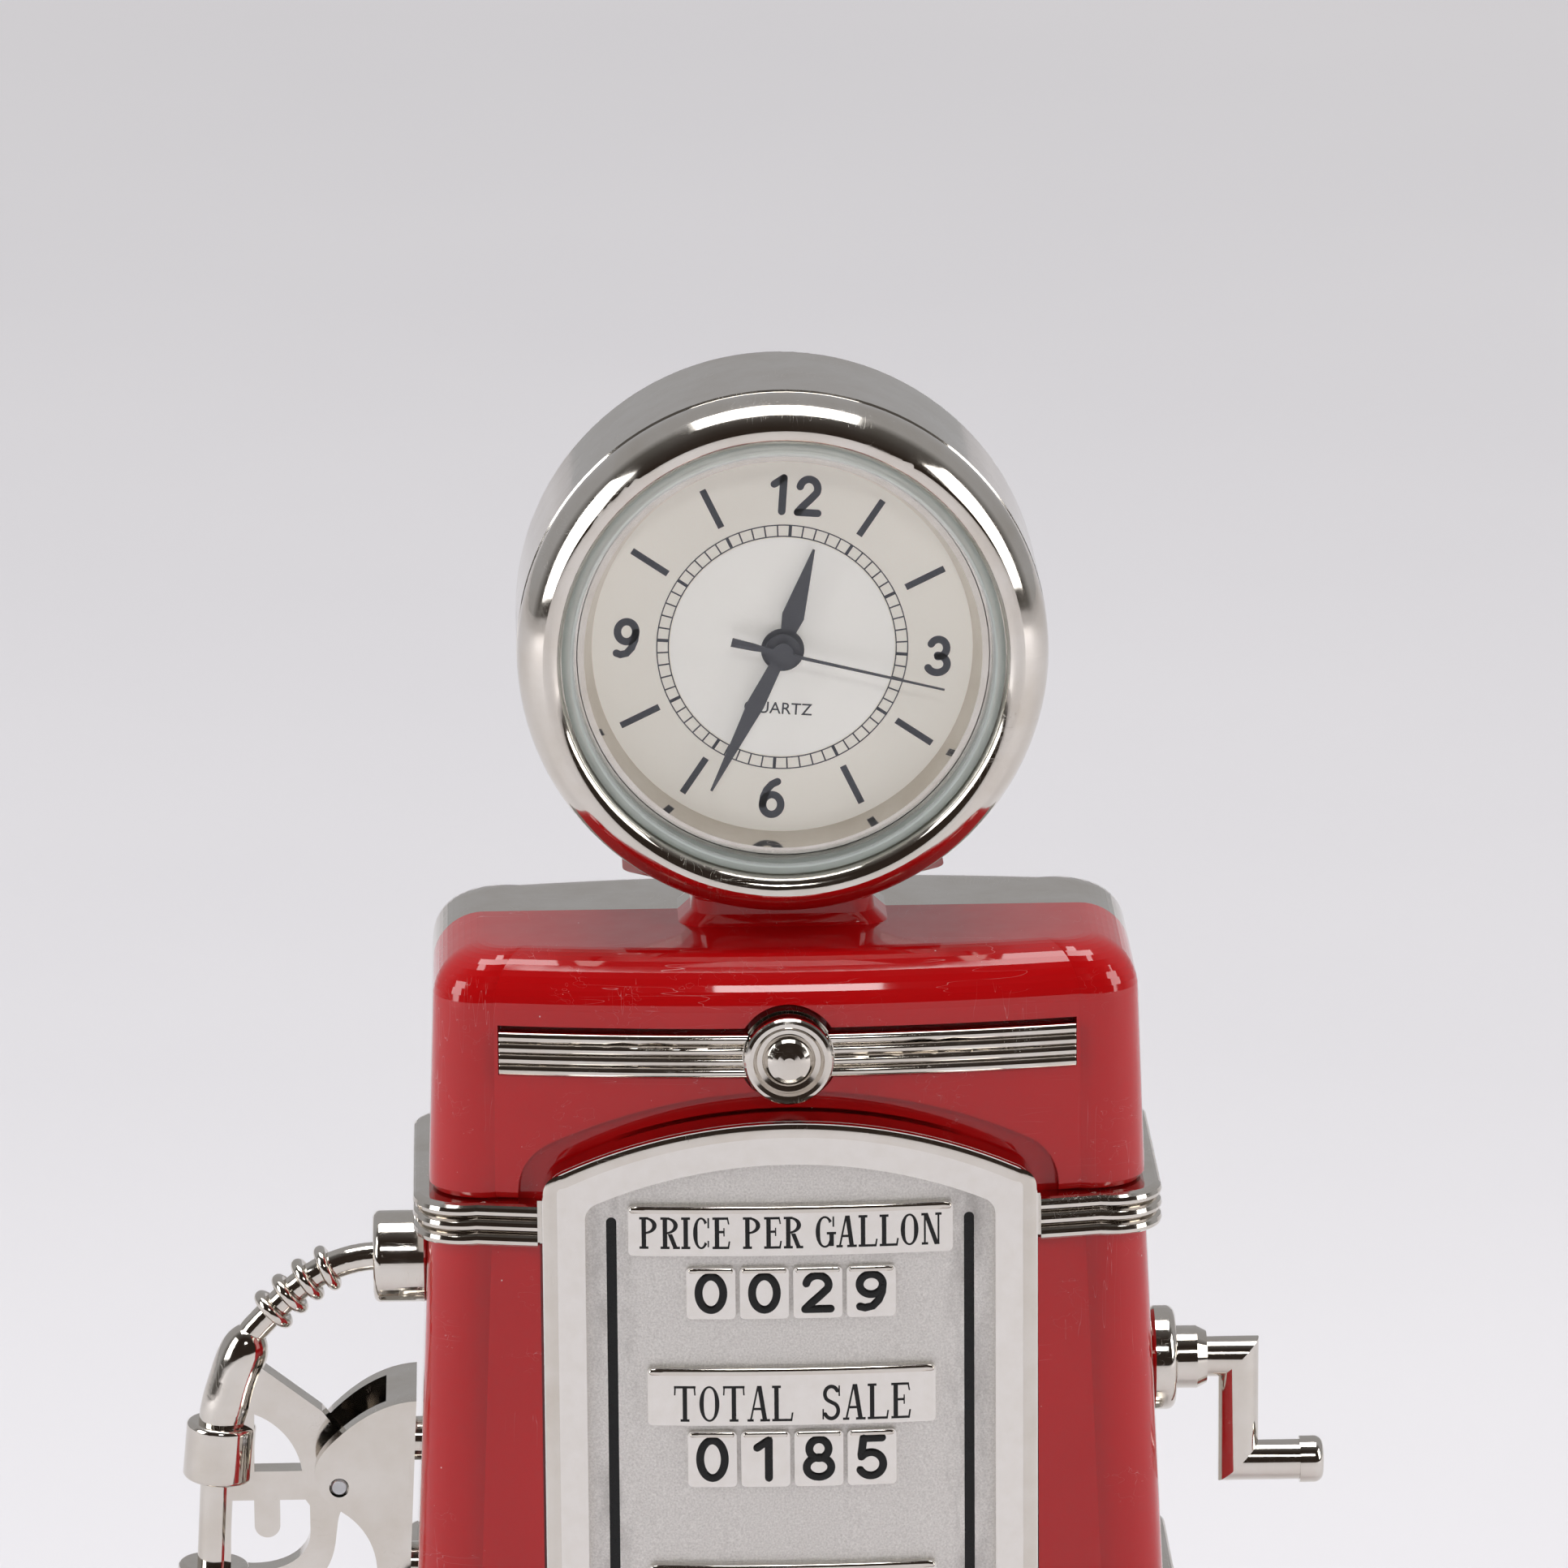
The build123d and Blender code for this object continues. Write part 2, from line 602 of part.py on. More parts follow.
# ---------------------------------------------------------------- clock housing
with BuildPart() as clock_housing:
    with BuildSketch(PROFILE):
        with BuildLine():
            Polyline(
                (HOUSING_BORE_R, 4.8), (BEZEL_OR - 0.12, 4.8), (BEZEL_OR, 4.68), (BEZEL_OR, -4.3)
            )
            ThreePointArc((BEZEL_OR, -4.3), (13.75, -5.15), (12.9, -5.5))
            Polyline((12.9, -5.5), (0, -5.5), (0, -4.2), (HOUSING_BORE_R, -4.2), (HOUSING_BORE_R, 4.8))
        make_face()
    revolve(axis=CLOCK_AXIS)
    with BuildSketch(Plane.XY.offset(CLOCK_Z - 15)):
        with Locations((0, 2.6)):
            Circle(1.0)
    extrude(amount=5, mode=Mode.SUBTRACT)
clock_housing.part.label = "clock_housing"

# ---------------------------------------------------------------- clock insert
with BuildPart() as grip_gasket:
    with BuildSketch(PROFILE):
        add(
            turned_profile(
                (10.98, 3.5), (12.0, 3.5), (12.7, 3.6), (12.7, 3.75), (12.05, 3.9), (12.05, 4.2),
                (12.7, 4.35), (12.7, 4.5), (12.0, 4.65), (10.98, 4.65),
            )
        )
    revolve(axis=CLOCK_AXIS)
grip_gasket.part.label = "grip_gasket"

with BuildPart() as bezel:
    with BuildSketch(PROFILE):
        with BuildLine():
            Polyline((10.95, 6.1), (10.95, 4.88), (13.9, 4.88), (14.05, 5.0))
            ThreePointArc((14.05, 5.0), (13.82, 6.62), (12.75, 7.8))
            ThreePointArc((12.75, 7.8), (12.15, 7.75), (11.8, 7.34))
            Polyline((11.8, 7.34), (11.8, 6.1), (10.95, 6.1))
        make_face()
    revolve(axis=CLOCK_AXIS)
bezel.part.label = "bezel"

with BuildPart() as crystal:
    with BuildSketch(PROFILE):
        add(turned_profile((0, 6.12), (11.75, 6.12), (11.75, 6.95), (11.3, 7.4), (0, 7.4)))
    revolve(axis=CLOCK_AXIS)
crystal.part.label = "crystal"

with BuildPart() as reflector_ring:
    with BuildSketch(PROFILE):
        add(turned_profile((10.12, 4.32), (10.56, 4.32), (10.56, 4.92), (10.9, 5.0), (10.9, 6.08), (10.55, 6.08)))
    revolve(axis=CLOCK_AXIS)
reflector_ring.part.label = "reflector_ring"

with BuildPart() as dial:
    with BuildSketch(PROFILE):
        add(turned_profile((0.8, 4.0), (10.52, 4.0), (10.52, 4.3), (0.8, 4.3)))
    revolve(axis=CLOCK_AXIS)
dial.part.label = "dial"

STEM_H = 2.0
STEM_DX, STEM_DZ = math.cos(math.radians(DIAL_TURN)), -math.sin(math.radians(DIAL_TURN))
STEM = Plane(origin=(0, -STEM_H, CLOCK_Z), x_dir=(0, 1, 0), z_dir=(STEM_DX, 0, STEM_DZ))

with BuildPart() as insert_case:
    with BuildSketch(PROFILE):
        add(turned_profile((10.6, -0.6), (10.9, -0.6), (10.9, 4.86), (10.6, 4.86)))
    revolve(axis=CLOCK_AXIS)
    with BuildSketch(STEM):
        Circle(0.45)
    extrude(amount=12, mode=Mode.SUBTRACT)
insert_case.part.label = "insert_case"

with BuildPart() as case_back:
    with BuildSketch(PROFILE):
        add(turned_profile((0, -1.05), (10.7, -1.05), (10.9, -0.62), (10.55, -0.62), (10.55, -0.1), (10.2, -0.1), (10.2, -0.6), (0, -0.6)))
    revolve(axis=CLOCK_AXIS)
case_back.part.label = "case_back"


def at(angle, dist):
    """Point of the movement, clock angle counted from the dial's own twelve."""
    sx, sz = clock_dir(angle + DIAL_TURN)
    return (dist * sx, dist * sz)


BATTERY_AT = at(225, 5.4)
THIRD_AT = at(0, 2.04)
FIFTH_AT = at(100, 1.96)
ROTOR_AT = (FIFTH_AT[0] + 1.44 * clock_dir(150)[0], FIFTH_AT[1] + 1.44 * clock_dir(150)[1])
MINUTE_WHEEL_AT = at(60, 2.4)
COIL_AT = at(150, 6.4)


def layer(h):
    return DIAL.offset(h)


with BuildPart() as movement_ring:
    with BuildSketch(layer(0.9)):
        Circle(10.5)
        Circle(8.95, mode=Mode.SUBTRACT)
    extrude(amount=3.05)
    with BuildSketch(STEM):
        Circle(0.7)
    extrude(amount=12, mode=Mode.SUBTRACT)
movement_ring.part.label = "movement_ring"

with BuildPart() as movement_plate:
    with BuildSketch(layer(2.72)):
        Circle(8.9)
        with Locations(BATTERY_AT):
            Circle(3.47, mode=Mode.SUBTRACT)
        with Locations(THIRD_AT, FIFTH_AT, ROTOR_AT):
            Circle(0.17, mode=Mode.SUBTRACT)
        Circle(0.43, mode=Mode.SUBTRACT)
    extrude(amount=0.6)
    # minute wheel post on the dial side
    with BuildSketch(layer(3.3)):
        with Locations(MINUTE_WHEEL_AT):
            Circle(0.2)
    extrude(amount=0.6)
movement_plate.part.label = "movement_plate"

with BuildPart() as train_bridge:
    with BuildSketch(layer(0.95)):
        Circle(8.4)
        with Locations(BATTERY_AT):
            Circle(3.6, mode=Mode.SUBTRACT)
        with Locations(THIRD_AT, FIFTH_AT, ROTOR_AT, (0, 0)):
            Circle(0.2, mode=Mode.SUBTRACT)
        with Locations(at(150, 8.0)):
            Rectangle(14.0, 6.4, rotation=30 - DIAL_TURN, mode=Mode.SUBTRACT)
        with Locations(at(190, 7.6)):
            Circle(3.4, mode=Mode.SUBTRACT)
    extrude(amount=0.35)
    # pillars up to the main plate
    with BuildSketch(layer(1.2)):
        with Locations(at(20, 7.2), at(300, 7.2), at(55, 7.6)):
            Circle(0.6)
    extrude(amount=1.52)
train_bridge.part.label = "train_bridge"

with BuildPart() as circuit_board:
    with BuildSketch(layer(0.5)):
        Circle(8.3)
        with Locations(BATTERY_AT):
            Circle(3.6, mode=Mode.SUBTRACT)
        with Locations((0, 0)):
            Circle(2.6, mode=Mode.SUBTRACT)
    extrude(amount=0.4)
circuit_board.part.label = "circuit_board"

COIL_PLANE_DIR = clock_dir(60 + DIAL_TURN)
with BuildPart() as coil:
    coil_plane = Plane(
        origin=(COIL_AT[0], -1.72, CLOCK_Z + COIL_AT[1]),
        x_dir=(0, 1, 0),
        z_dir=(COIL_PLANE_DIR[0], 0, COIL_PLANE_DIR[1]),
    )
    with BuildSketch(coil_plane):
        Circle(0.56)
        Circle(0.31, mode=Mode.SUBTRACT)
    extrude(amount=2.9, both=True)
coil.part.label = "coil"

with BuildPart() as stator:
    with BuildSketch(coil_plane.offset(-3.6)):
        Circle(0.28)
    extrude(amount=7.2)
    # pole piece around the rotor
    with BuildSketch(layer(2.32)):
        with Locations(ROTOR_AT):
            Circle(1.25)
            Circle(0.72, mode=Mode.SUBTRACT)
    extrude(amount=0.36)
    with BuildSketch(layer(1.75)):
        with Locations((COIL_AT[0] - 3.45 * COIL_PLANE_DIR[0], COIL_AT[1] - 3.45 * COIL_PLANE_DIR[1]),
                       (COIL_AT[0] + 3.45 * COIL_PLANE_DIR[0], COIL_AT[1] + 3.45 * COIL_PLANE_DIR[1])):
            Circle(0.5)
    extrude(amount=0.93)
    with BuildSketch(layer(2.32)):
        with BuildLine():
            a = (COIL_AT[0] - 3.45 * COIL_PLANE_DIR[0], COIL_AT[1] - 3.45 * COIL_PLANE_DIR[1])
            b = (COIL_AT[0] + 3.45 * COIL_PLANE_DIR[0], COIL_AT[1] + 3.45 * COIL_PLANE_DIR[1])
            Polyline(a, ROTOR_AT, b, close=True)
        make_face()
        with Locations(ROTOR_AT):
            Circle(0.72, mode=Mode.SUBTRACT)
    extrude(amount=0.36)
stator.part.label = "stator"

with BuildPart() as battery:
    with BuildSketch(layer(0.62)):
        with Locations(BATTERY_AT):
            Circle(3.4)
    extrude(amount=2.6)
    fillet(battery.edges().filter_by(GeomType.CIRCLE), 0.25)
battery.part.label = "battery"

with BuildPart() as battery_clip:
    with BuildSketch(layer(0.25)):
        with Locations(BATTERY_AT):
            Circle(3.3)
            Circle(2.2, mode=Mode.SUBTRACT)
            Rectangle(6.0, 0.9)
    extrude(amount=0.22)
battery_clip.part.label = "battery_clip"

# ------------------------------------------------ gear train, wheels stand clear of each other
with BuildPart() as rotor:
    with BuildSketch(layer(2.1)):
        with Locations(ROTOR_AT):
            Circle(0.6)
    extrude(amount=0.56)
    with BuildSketch(layer(1.05)):
        with Locations(ROTOR_AT):
            Circle(0.13)
    extrude(amount=2.1)
    with BuildSketch(layer(1.62)):
        with Locations(ROTOR_AT):
            add(gear_outline(8, 0.058))
    extrude(amount=0.3)
rotor.part.label = "rotor"

with BuildPart() as fifth_wheel:
    with BuildSketch(layer(1.68)):
        with Locations(FIFTH_AT):
            add(gear_outline(40, 0.058))
    extrude(amount=0.14)
    with BuildSketch(layer(1.36)):
        with Locations(FIFTH_AT):
            add(gear_outline(8, 0.068))
    extrude(amount=0.32)
    with BuildSketch(layer(1.05)):
        with Locations(FIFTH_AT):
            Circle(0.13)
    extrude(amount=2.1)
fifth_wheel.part.label = "fifth_wheel"

with BuildPart() as seconds_wheel:
    with BuildSketch(layer(1.42)):
        add(gear_outline(48, 0.068))
    extrude(amount=0.14)
    with BuildSketch(layer(1.56)):
        add(gear_outline(8, 0.059))
    extrude(amount=0.6)
    with BuildSketch(layer(1.05)):
        Circle(0.14)
    extrude(amount=4.63)
seconds_wheel.part.label = "seconds_wheel"

with BuildPart() as third_wheel:
    with BuildSketch(layer(2.02)):
        with Locations(THIRD_AT):
            add(gear_outline(60, 0.059))
    extrude(amount=0.12)
    with BuildSketch(layer(2.14)):
        with Locations(THIRD_AT):
            add(gear_outline(8, 0.056))
    extrude(amount=0.36)
    with BuildSketch(layer(1.05)):
        with Locations(THIRD_AT):
            Circle(0.13)
    extrude(amount=2.1)
third_wheel.part.label = "third_wheel"

with BuildPart() as centre_wheel:
    with BuildSketch(layer(2.28)):
        add(gear_outline(64, 0.056))
    extrude(amount=0.14)
    with BuildSketch(layer(2.28)):
        Circle(0.34)
    extrude(amount=2.94)
    with BuildSketch(layer(3.38)):
        add(gear_outline(12, 0.098))
    extrude(amount=0.22)
    with BuildSketch(layer(2.2)):
        Circle(0.21)
    extrude(amount=4, mode=Mode.SUBTRACT)
centre_wheel.part.label = "centre_wheel"

with BuildPart() as minute_wheel:
    with BuildSketch(layer(3.42)):
        with Locations(MINUTE_WHEEL_AT):
            add(gear_outline(36, 0.098))
    extrude(amount=0.14)
    with BuildSketch(layer(3.56)):
        with Locations(MINUTE_WHEEL_AT):
            add(gear_outline(10, 0.094))
    extrude(amount=0.3)
    with BuildSketch(layer(3.3)):
        with Locations(MINUTE_WHEEL_AT):
            Circle(0.26)
    extrude(amount=1, mode=Mode.SUBTRACT)
minute_wheel.part.label = "minute_wheel"

with BuildPart() as hour_wheel:
    with BuildSketch(layer(3.68)):
        add(gear_outline(40, 0.094))
    extrude(amount=0.16)
    with BuildSketch(layer(3.68)):
        Circle(0.62)
    extrude(amount=1.12)
    with BuildSketch(layer(3.4)):
        Circle(0.42)
    extrude(amount=2, mode=Mode.SUBTRACT)
hour_wheel.part.label = "hour_wheel"


# ------------------------------------------------ hands
def hand_shape(pts, angle, boss_r):
    """Hand outline from half-widths along its length, turned to a clock angle, with its boss."""
    sx, sz = clock_dir(angle)
    right = [(hw, d) for d, hw in pts]
    left = [(-hw, d) for d, hw in reversed(pts)]
    turned = [(x * sz + y * sx, -x * sx + y * sz) for x, y in right + left]
    with BuildSketch() as shape:
        with BuildLine():
            Polyline(*turned, close=True)
        make_face()
        Circle(boss_r)
    return shape.sketch


with BuildPart() as hour_hand:
    with BuildSketch(layer(4.8)):
        add(hand_shape([(0.0, 0.42), (1.0, 0.40), (1.9, 0.60), (2.6, 0.50), (5.7, 0.06)], HOUR_ANGLE, 1.15))
        Circle(0.42, mode=Mode.SUBTRACT)
    extrude(amount=0.12)
hour_hand.part.label = "hour_hand"

with BuildPart() as minute_hand:
    with BuildSketch(layer(5.22)):
        add(hand_shape([(0.0, 0.35), (1.0, 0.34), (3.2, 0.46), (4.4, 0.36), (8.5, 0.06)], MINUTE_ANGLE, 0.95))
        Circle(0.21, mode=Mode.SUBTRACT)
    extrude(amount=0.12)
minute_hand.part.label = "minute_hand"

with BuildPart() as second_hand:
    with BuildSketch(layer(5.68)):
        add(hand_shape([(-2.8, 0.24), (-1.6, 0.2), (-0.6, 0.1), (0.0, 0.09), (8.8, 0.05)], SECOND_ANGLE, 0.55))
    extrude(amount=0.1)
second_hand.part.label = "second_hand"

# ------------------------------------------------ setting stem
with BuildPart() as winding_stem:
    with BuildSketch(STEM.offset(5.6)):
        Circle(0.28)
    extrude(amount=5.75)
    with BuildSketch(STEM.offset(5.2)):
        Circle(0.4)
    extrude(amount=0.4)
    # groove the setting lever drops into
    with BuildSketch(STEM.offset(6.6)):
        Circle(0.4)
        Circle(0.18, mode=Mode.SUBTRACT)
    extrude(amount=0.36, mode=Mode.SUBTRACT)
winding_stem.part.label = "winding_stem"

with BuildPart() as crown:
    with BuildSketch(STEM.offset(10.95)):
        Circle(1.15)
        with PolarLocations(1.15, 18):
            Circle(0.09, mode=Mode.SUBTRACT)
    extrude(amount=0.8)
    with BuildSketch(STEM.offset(10.9)):
        Circle(0.28)
    extrude(amount=0.45, mode=Mode.SUBTRACT)
crown.part.label = "crown"

with BuildPart() as setting_lever:
    with BuildSketch(STEM.offset(6.64)):
        with BuildLine():
            Polyline((-0.5, 0.0), (-0.5, 1.7), (0.5, 1.7), (0.5, 0.0), (0.24, 0.0), (0.24, 0.3), (-0.24, 0.3), (-0.24, 0.0), close=True)
        make_face()
    extrude(amount=0.28)
setting_lever.part.label = "setting_lever"

# ---------------------------------------------------------------- crank side
def side_x(z):
    return body_level(z)[0]


with BuildPart() as crank_escutcheon:
    with BuildSketch(Plane(origin=(0, 0, CRANK_Z), x_dir=(1, 0, 0), z_dir=(0, -1, 0))):
        with BuildLine():
            x0 = side_x(CRANK_Z) + 0.1
            Polyline((x0, 1.2), (x0, 2.6), (x0 + 0.25, 2.85), (20.75, 2.85))
            ThreePointArc((20.75, 2.85), (21.1, 2.7), (21.25, 2.35))
            Polyline((21.25, 2.35), (21.25, 1.2), (x0, 1.2))
        make_face()
    revolve(axis=Axis((0, 0, CRANK_Z), (1, 0, 0)))
    with BuildSketch(Plane.YZ.offset(x0 - 0.5)):
        with Locations((0, CRANK_Z)):
            Circle(1.75)
            Circle(1.2, mode=Mode.SUBTRACT)
    extrude(amount=0.7)
    add(stacked(LOWER_LEVELS), mode=Mode.SUBTRACT)
crank_escutcheon.part.label = "crank_escutcheon"

CRANK_R = 1.1
ELBOW_X = 24.75
HANDLE_END = 29.3
with BuildPart() as crank:
    with BuildLine() as crank_path:
        Polyline((15.2, 0, CRANK_Z), (ELBOW_X, 0, CRANK_Z), (ELBOW_X, 0, CRANK_Z - CRANK_DROP), (HANDLE_END - 0.5, 0, CRANK_Z - CRANK_DROP))
    with BuildSketch(Plane.YZ.offset(15.2)):
        with Locations((0, CRANK_Z)):
            Circle(CRANK_R)
    sweep(path=crank_path.line, transition=Transition.RIGHT)
    # shouldered collar outside the escutcheon
    with BuildSketch(Plane.YZ.offset(21.32)):
        with Locations((0, CRANK_Z)):
            Circle(1.72)
    extrude(amount=1.1)
    with BuildSketch(Plane.YZ.offset(22.42)):
        with Locations((0, CRANK_Z)):
            Circle(1.72)
    extrude(amount=0.55, taper=28)
    # rounded grip end
    with Locations((HANDLE_END - 0.55, 0, CRANK_Z - CRANK_DROP)):
        Cylinder(1.28, 1.3, rotation=(0, 90, 0))
    fillet(crank.edges().filter_by(GeomType.CIRCLE).group_by(Axis.X)[-1], 0.5)
    # groove for the retaining clip
    with BuildSketch(Plane.YZ.offset(16.1)):
        with Locations((0, CRANK_Z)):
            Circle(2.0)
            Circle(0.78, mode=Mode.SUBTRACT)
    extrude(amount=0.5, mode=Mode.SUBTRACT)
crank.part.label = "crank"

with BuildPart() as crank_clip:
    with BuildSketch(Plane.YZ.offset(16.14)):
        with Locations((0, CRANK_Z)):
            Circle(2.1)
            Circle(0.79, mode=Mode.SUBTRACT)
        with Locations((0, CRANK_Z - 1.6)):
            Rectangle(1.3, 2.2, mode=Mode.SUBTRACT)
    extrude(amount=0.42)
crank_clip.part.label = "crank_clip"

# ---------------------------------------------------------------- nozzle side
with BuildPart() as nozzle_boot:
    with BuildSketch(Plane(origin=(0, 0, BOOT_Z), x_dir=(1, 0, 0), z_dir=(0, -1, 0))):
        with BuildLine():
            xb = -side_x(BOOT_Z) + 0.15
            Polyline((xb, 0), (xb, 2.25), (xb - 0.3, 2.5), (-21.95, 2.5))
            ThreePointArc((-21.95, 2.5), (-22.24, 2.37), (-22.35, 2.05))
            Polyline((-22.35, 2.05), (-22.35, 1.3), (-20.35, 1.3), (-20.35, 0), (xb, 0))
        make_face()
    revolve(axis=Axis((0, 0, BOOT_Z), (1, 0, 0)))
    add(stacked(LOWER_LEVELS), mode=Mode.SUBTRACT)
    with BuildSketch(Plane.YZ.offset(-20.6)):
        with Locations((0, BOOT_Z)):
            Circle(0.78)
    extrude(amount=3.2)
nozzle_boot.part.label = "nozzle_boot"

CHEEK = [
    (-20.12, 35.1), (-21.5, 34.85), (-23.1, 34.1), (-24.5, 33.0), (-25.6, 31.6), (-25.72, 30.7),
    (-25.35, 29.75), (-24.6, 29.05), (-23.8, 28.45), (-23.0, 27.5), (-22.6, 26.6), (-22.42, 25.35),
]
with BuildPart() as holster_bracket:
    with BuildSketch(Plane.XZ.offset(3.4)):
        with BuildLine():
            Spline(*CHEEK[:6])
            Spline(*CHEEK[5:])
            Polyline(CHEEK[-1], (-22.4, 22.2), (-22.0, 21.9), (-20.78, 21.9), CHEEK[0])
        make_face()
    extrude(amount=-6.8)
    # slot between the cheeks
    with BuildSketch(Plane.XZ.offset(2.25)):
        with BuildLine():
            Polyline((-30, 18), (-22.2, 18), (-22.2, 33.4), (-21.4, 36.0), (-30, 36.0), close=True)
        make_face()
    extrude(amount=-4.5, mode=Mode.SUBTRACT)
    with BuildSketch(Plane.XZ.offset(4)):
        with Locations((PIN_X, PIN_Z)):
            Circle(PIN_HOLE_R)
    extrude(amount=-8, mode=Mode.SUBTRACT)
    # spacer feet against the tapered side
    with BuildSketch(Plane.YZ.offset(-20.9)):
        with Locations(*[(-1.6, z) for z in BRACKET_SCREWS_Z]):
            Circle(1.2)
    extrude(amount=1.6)
    add(stacked(LOWER_LEVELS), mode=Mode.SUBTRACT)
    add(stacked(ribbed_levels(LOW_BELT_BOTTOM, 21.3, 11.9, 17.8)), mode=Mode.SUBTRACT)
    with BuildSketch(Plane.YZ.offset(-21.6)):
        with Locations(*[(-1.6, z) for z in BRACKET_SCREWS_Z]):
            Circle(0.63)
    extrude(amount=3, mode=Mode.SUBTRACT)
holster_bracket.part.label = "holster_bracket"

with BuildPart() as holster_pin:
    with BuildSketch(Plane.XZ.offset(3.36)):
        with Locations((PIN_X, PIN_Z)):
            Circle(PIN_R)
    extrude(amount=-6.72)
    chamfer(holster_pin.edges().filter_by(GeomType.CIRCLE), 0.08)
holster_pin.part.label = "holster_pin"

SPOUT = [(-20.75, 42.3), (-22.5, 42.3), (-25.2, 41.5), (-26.45, 40.65), (-27.7, 39.5), (-28.75, 38.4), (-29.35, 37.4)]
NOZZLE_BODY = [
    ((-28.95, 38.1), 0.78), ((-29.15, 37.75), 1.1), ((-29.4, 37.2), 1.3), ((-29.85, 36.1), 1.36),
    ((-30.25, 34.9), 1.36), ((-30.65, 33.4), 1.34), ((-30.85, 32.4), 1.32),
]
COLLAR_TOP, COLLAR_BOTTOM = (-30.78, 33.0), (-31.1, 29.75)
STEM_BOTTOM = (-31.38, 24.9)
with BuildPart() as nozzle:
    with BuildLine(Plane.XZ) as spout_line:
        Spline(*SPOUT, tangents=((-1, 0), (-0.35, -1)))
    with BuildSketch(Plane(origin=spout_line.line @ 0, z_dir=spout_line.line % 0)):
        Circle(0.775)
    sweep(path=spout_line.line)
    for t in (0.40, 0.52, 0.64, 0.76):
        with Locations(Plane(origin=spout_line.line @ t, z_dir=spout_line.line % t).location):
            Torus(0.98, 0.34)
    for (px, pz), r in NOZZLE_BODY:
        k = [q for q, _ in NOZZLE_BODY].index((px, pz))
        q0 = NOZZLE_BODY[max(k - 1, 0)][0]
        q1 = NOZZLE_BODY[min(k + 1, len(NOZZLE_BODY) - 1)][0]
        with BuildSketch(Plane(origin=(px, 0, pz), z_dir=(q1[0] - q0[0], 0, q1[1] - q0[1]))):
            Circle(r)
    loft()
    cdir = (COLLAR_BOTTOM[0] - COLLAR_TOP[0], 0, COLLAR_BOTTOM[1] - COLLAR_TOP[1])
    with BuildSketch(Plane(origin=(COLLAR_TOP[0], 0, COLLAR_TOP[1]), z_dir=cdir)):
        Circle(1.9)
    extrude(amount=3.25)
    fillet(nozzle.edges().filter_by(GeomType.CIRCLE).filter_by(lambda e: abs(e.radius - 1.9) < 0.01), 0.3)
    sdir = (STEM_BOTTOM[0] - COLLAR_BOTTOM[0], 0, STEM_BOTTOM[1] - COLLAR_BOTTOM[1])
    with BuildSketch(Plane(origin=(COLLAR_BOTTOM[0], 0, COLLAR_BOTTOM[1] + 0.3), z_dir=sdir)):
        Circle(0.9)
    extrude(amount=5.2)
    # flat guard web with its two windows and the trigger
    with BuildSketch(Plane.XZ) as web:
        with BuildLine():
            Polyline((-30.9, 33.2), (-30.1, 36.0), (-29.4, 37.0), (-28.5, 36.2), (-25.3, 33.7), (-24.3, 32.4))
            Spline((-24.3, 32.4), (-23.1, 31.2), (-22.95, 29.9), (-23.6, 28.9), (-24.35, 28.0), (-24.62, 26.8), (-24.9, 25.3), (-26.0, 23.75), (-28.0, 23.1), (-30.6, 23.6))
            Polyline((-30.6, 23.6), (-31.3, 24.6), (-31.1, 29.8), (-30.9, 33.2))
        make_face()
        with BuildLine():
            Line((-29.05, 30.3), (-29.0, 33.6))
            ThreePointArc((-29.0, 33.6), (-27.35, 32.4), (-26.45, 30.3))
            Line((-26.45, 30.3), (-29.05, 30.3))
        make_face(mode=Mode.SUBTRACT)
        with BuildLine():
            Polyline((-30.35, 28.65), (-26.3, 28.65), (-26.06, 28.3), (-26.06, 26.75))
            Spline((-26.06, 26.75), (-26.6, 25.45), (-28.0, 24.7), (-30.45, 24.75))
            Line((-30.45, 24.75), (-30.35, 28.65))
        make_face(mode=Mode.SUBTRACT)
        with Locations((-28.4, 28.0)):
            SlotOverall(3.0, 1.4, rotation=90)
    extrude(amount=0.7, both=True)
    with BuildSketch(Plane.XZ.offset(4)):
        with Locations((PIN_X, PIN_Z)):
            Circle(PIN_HOLE_R)
    extrude(amount=-8, mode=Mode.SUBTRACT)
nozzle.part.label = "nozzle"

HOSE_TOP = (-31.48, 0, 22.9)
with BuildPart() as hose_coupling:
    with BuildSketch(Plane(origin=(STEM_BOTTOM[0], 0, STEM_BOTTOM[1]), z_dir=(-0.06, 0, -1))):
        Circle(1.95)
    extrude(amount=1.5)
    fillet(hose_coupling.edges().filter_by(GeomType.CIRCLE), 0.3)
    with BuildSketch(Plane(origin=(STEM_BOTTOM[0] - 0.09, 0, STEM_BOTTOM[1] - 1.45), z_dir=(-0.03, 0, -1))):
        Circle(0.8)
    extrude(amount=3.6)
    add(nozzle.part, mode=Mode.SUBTRACT)
hose_coupling.part.label = "hose_coupling"

HOSE_PATH = [
    (-19.2, 4.6, 20.4), (-20.4, 4.6, 20.4), (-21.8, 4.6, 20.25), (-23.9, 4.45, 19.0), (-25.0, 4.1, 16.2),
    (-25.3, 3.6, 13.4), (-26.3, 2.8, 11.0), (-28.5, 1.7, 9.95), (-30.6, 0.8, 11.3), (-31.4, 0.2, 14.2),
    (-31.5, 0, 17.6), (-31.5, 0, 20.5), (-31.5, 0, 23.3),
]
with BuildPart() as hose:
    with BuildLine() as hose_line:
        Spline(*HOSE_PATH)
    with BuildSketch(Plane(origin=hose_line.line @ 0, z_dir=hose_line.line % 0)):
        Circle(1.4)
    sweep(path=hose_line.line)
    # mouth that is pushed over the coupling's tail
    with BuildSketch(Plane(origin=(-31.47, 0, 23.6), z_dir=(-0.03, 0, -1))):
        Circle(0.86)
    extrude(amount=4.0, mode=Mode.SUBTRACT)
hose.part.label = "hose"

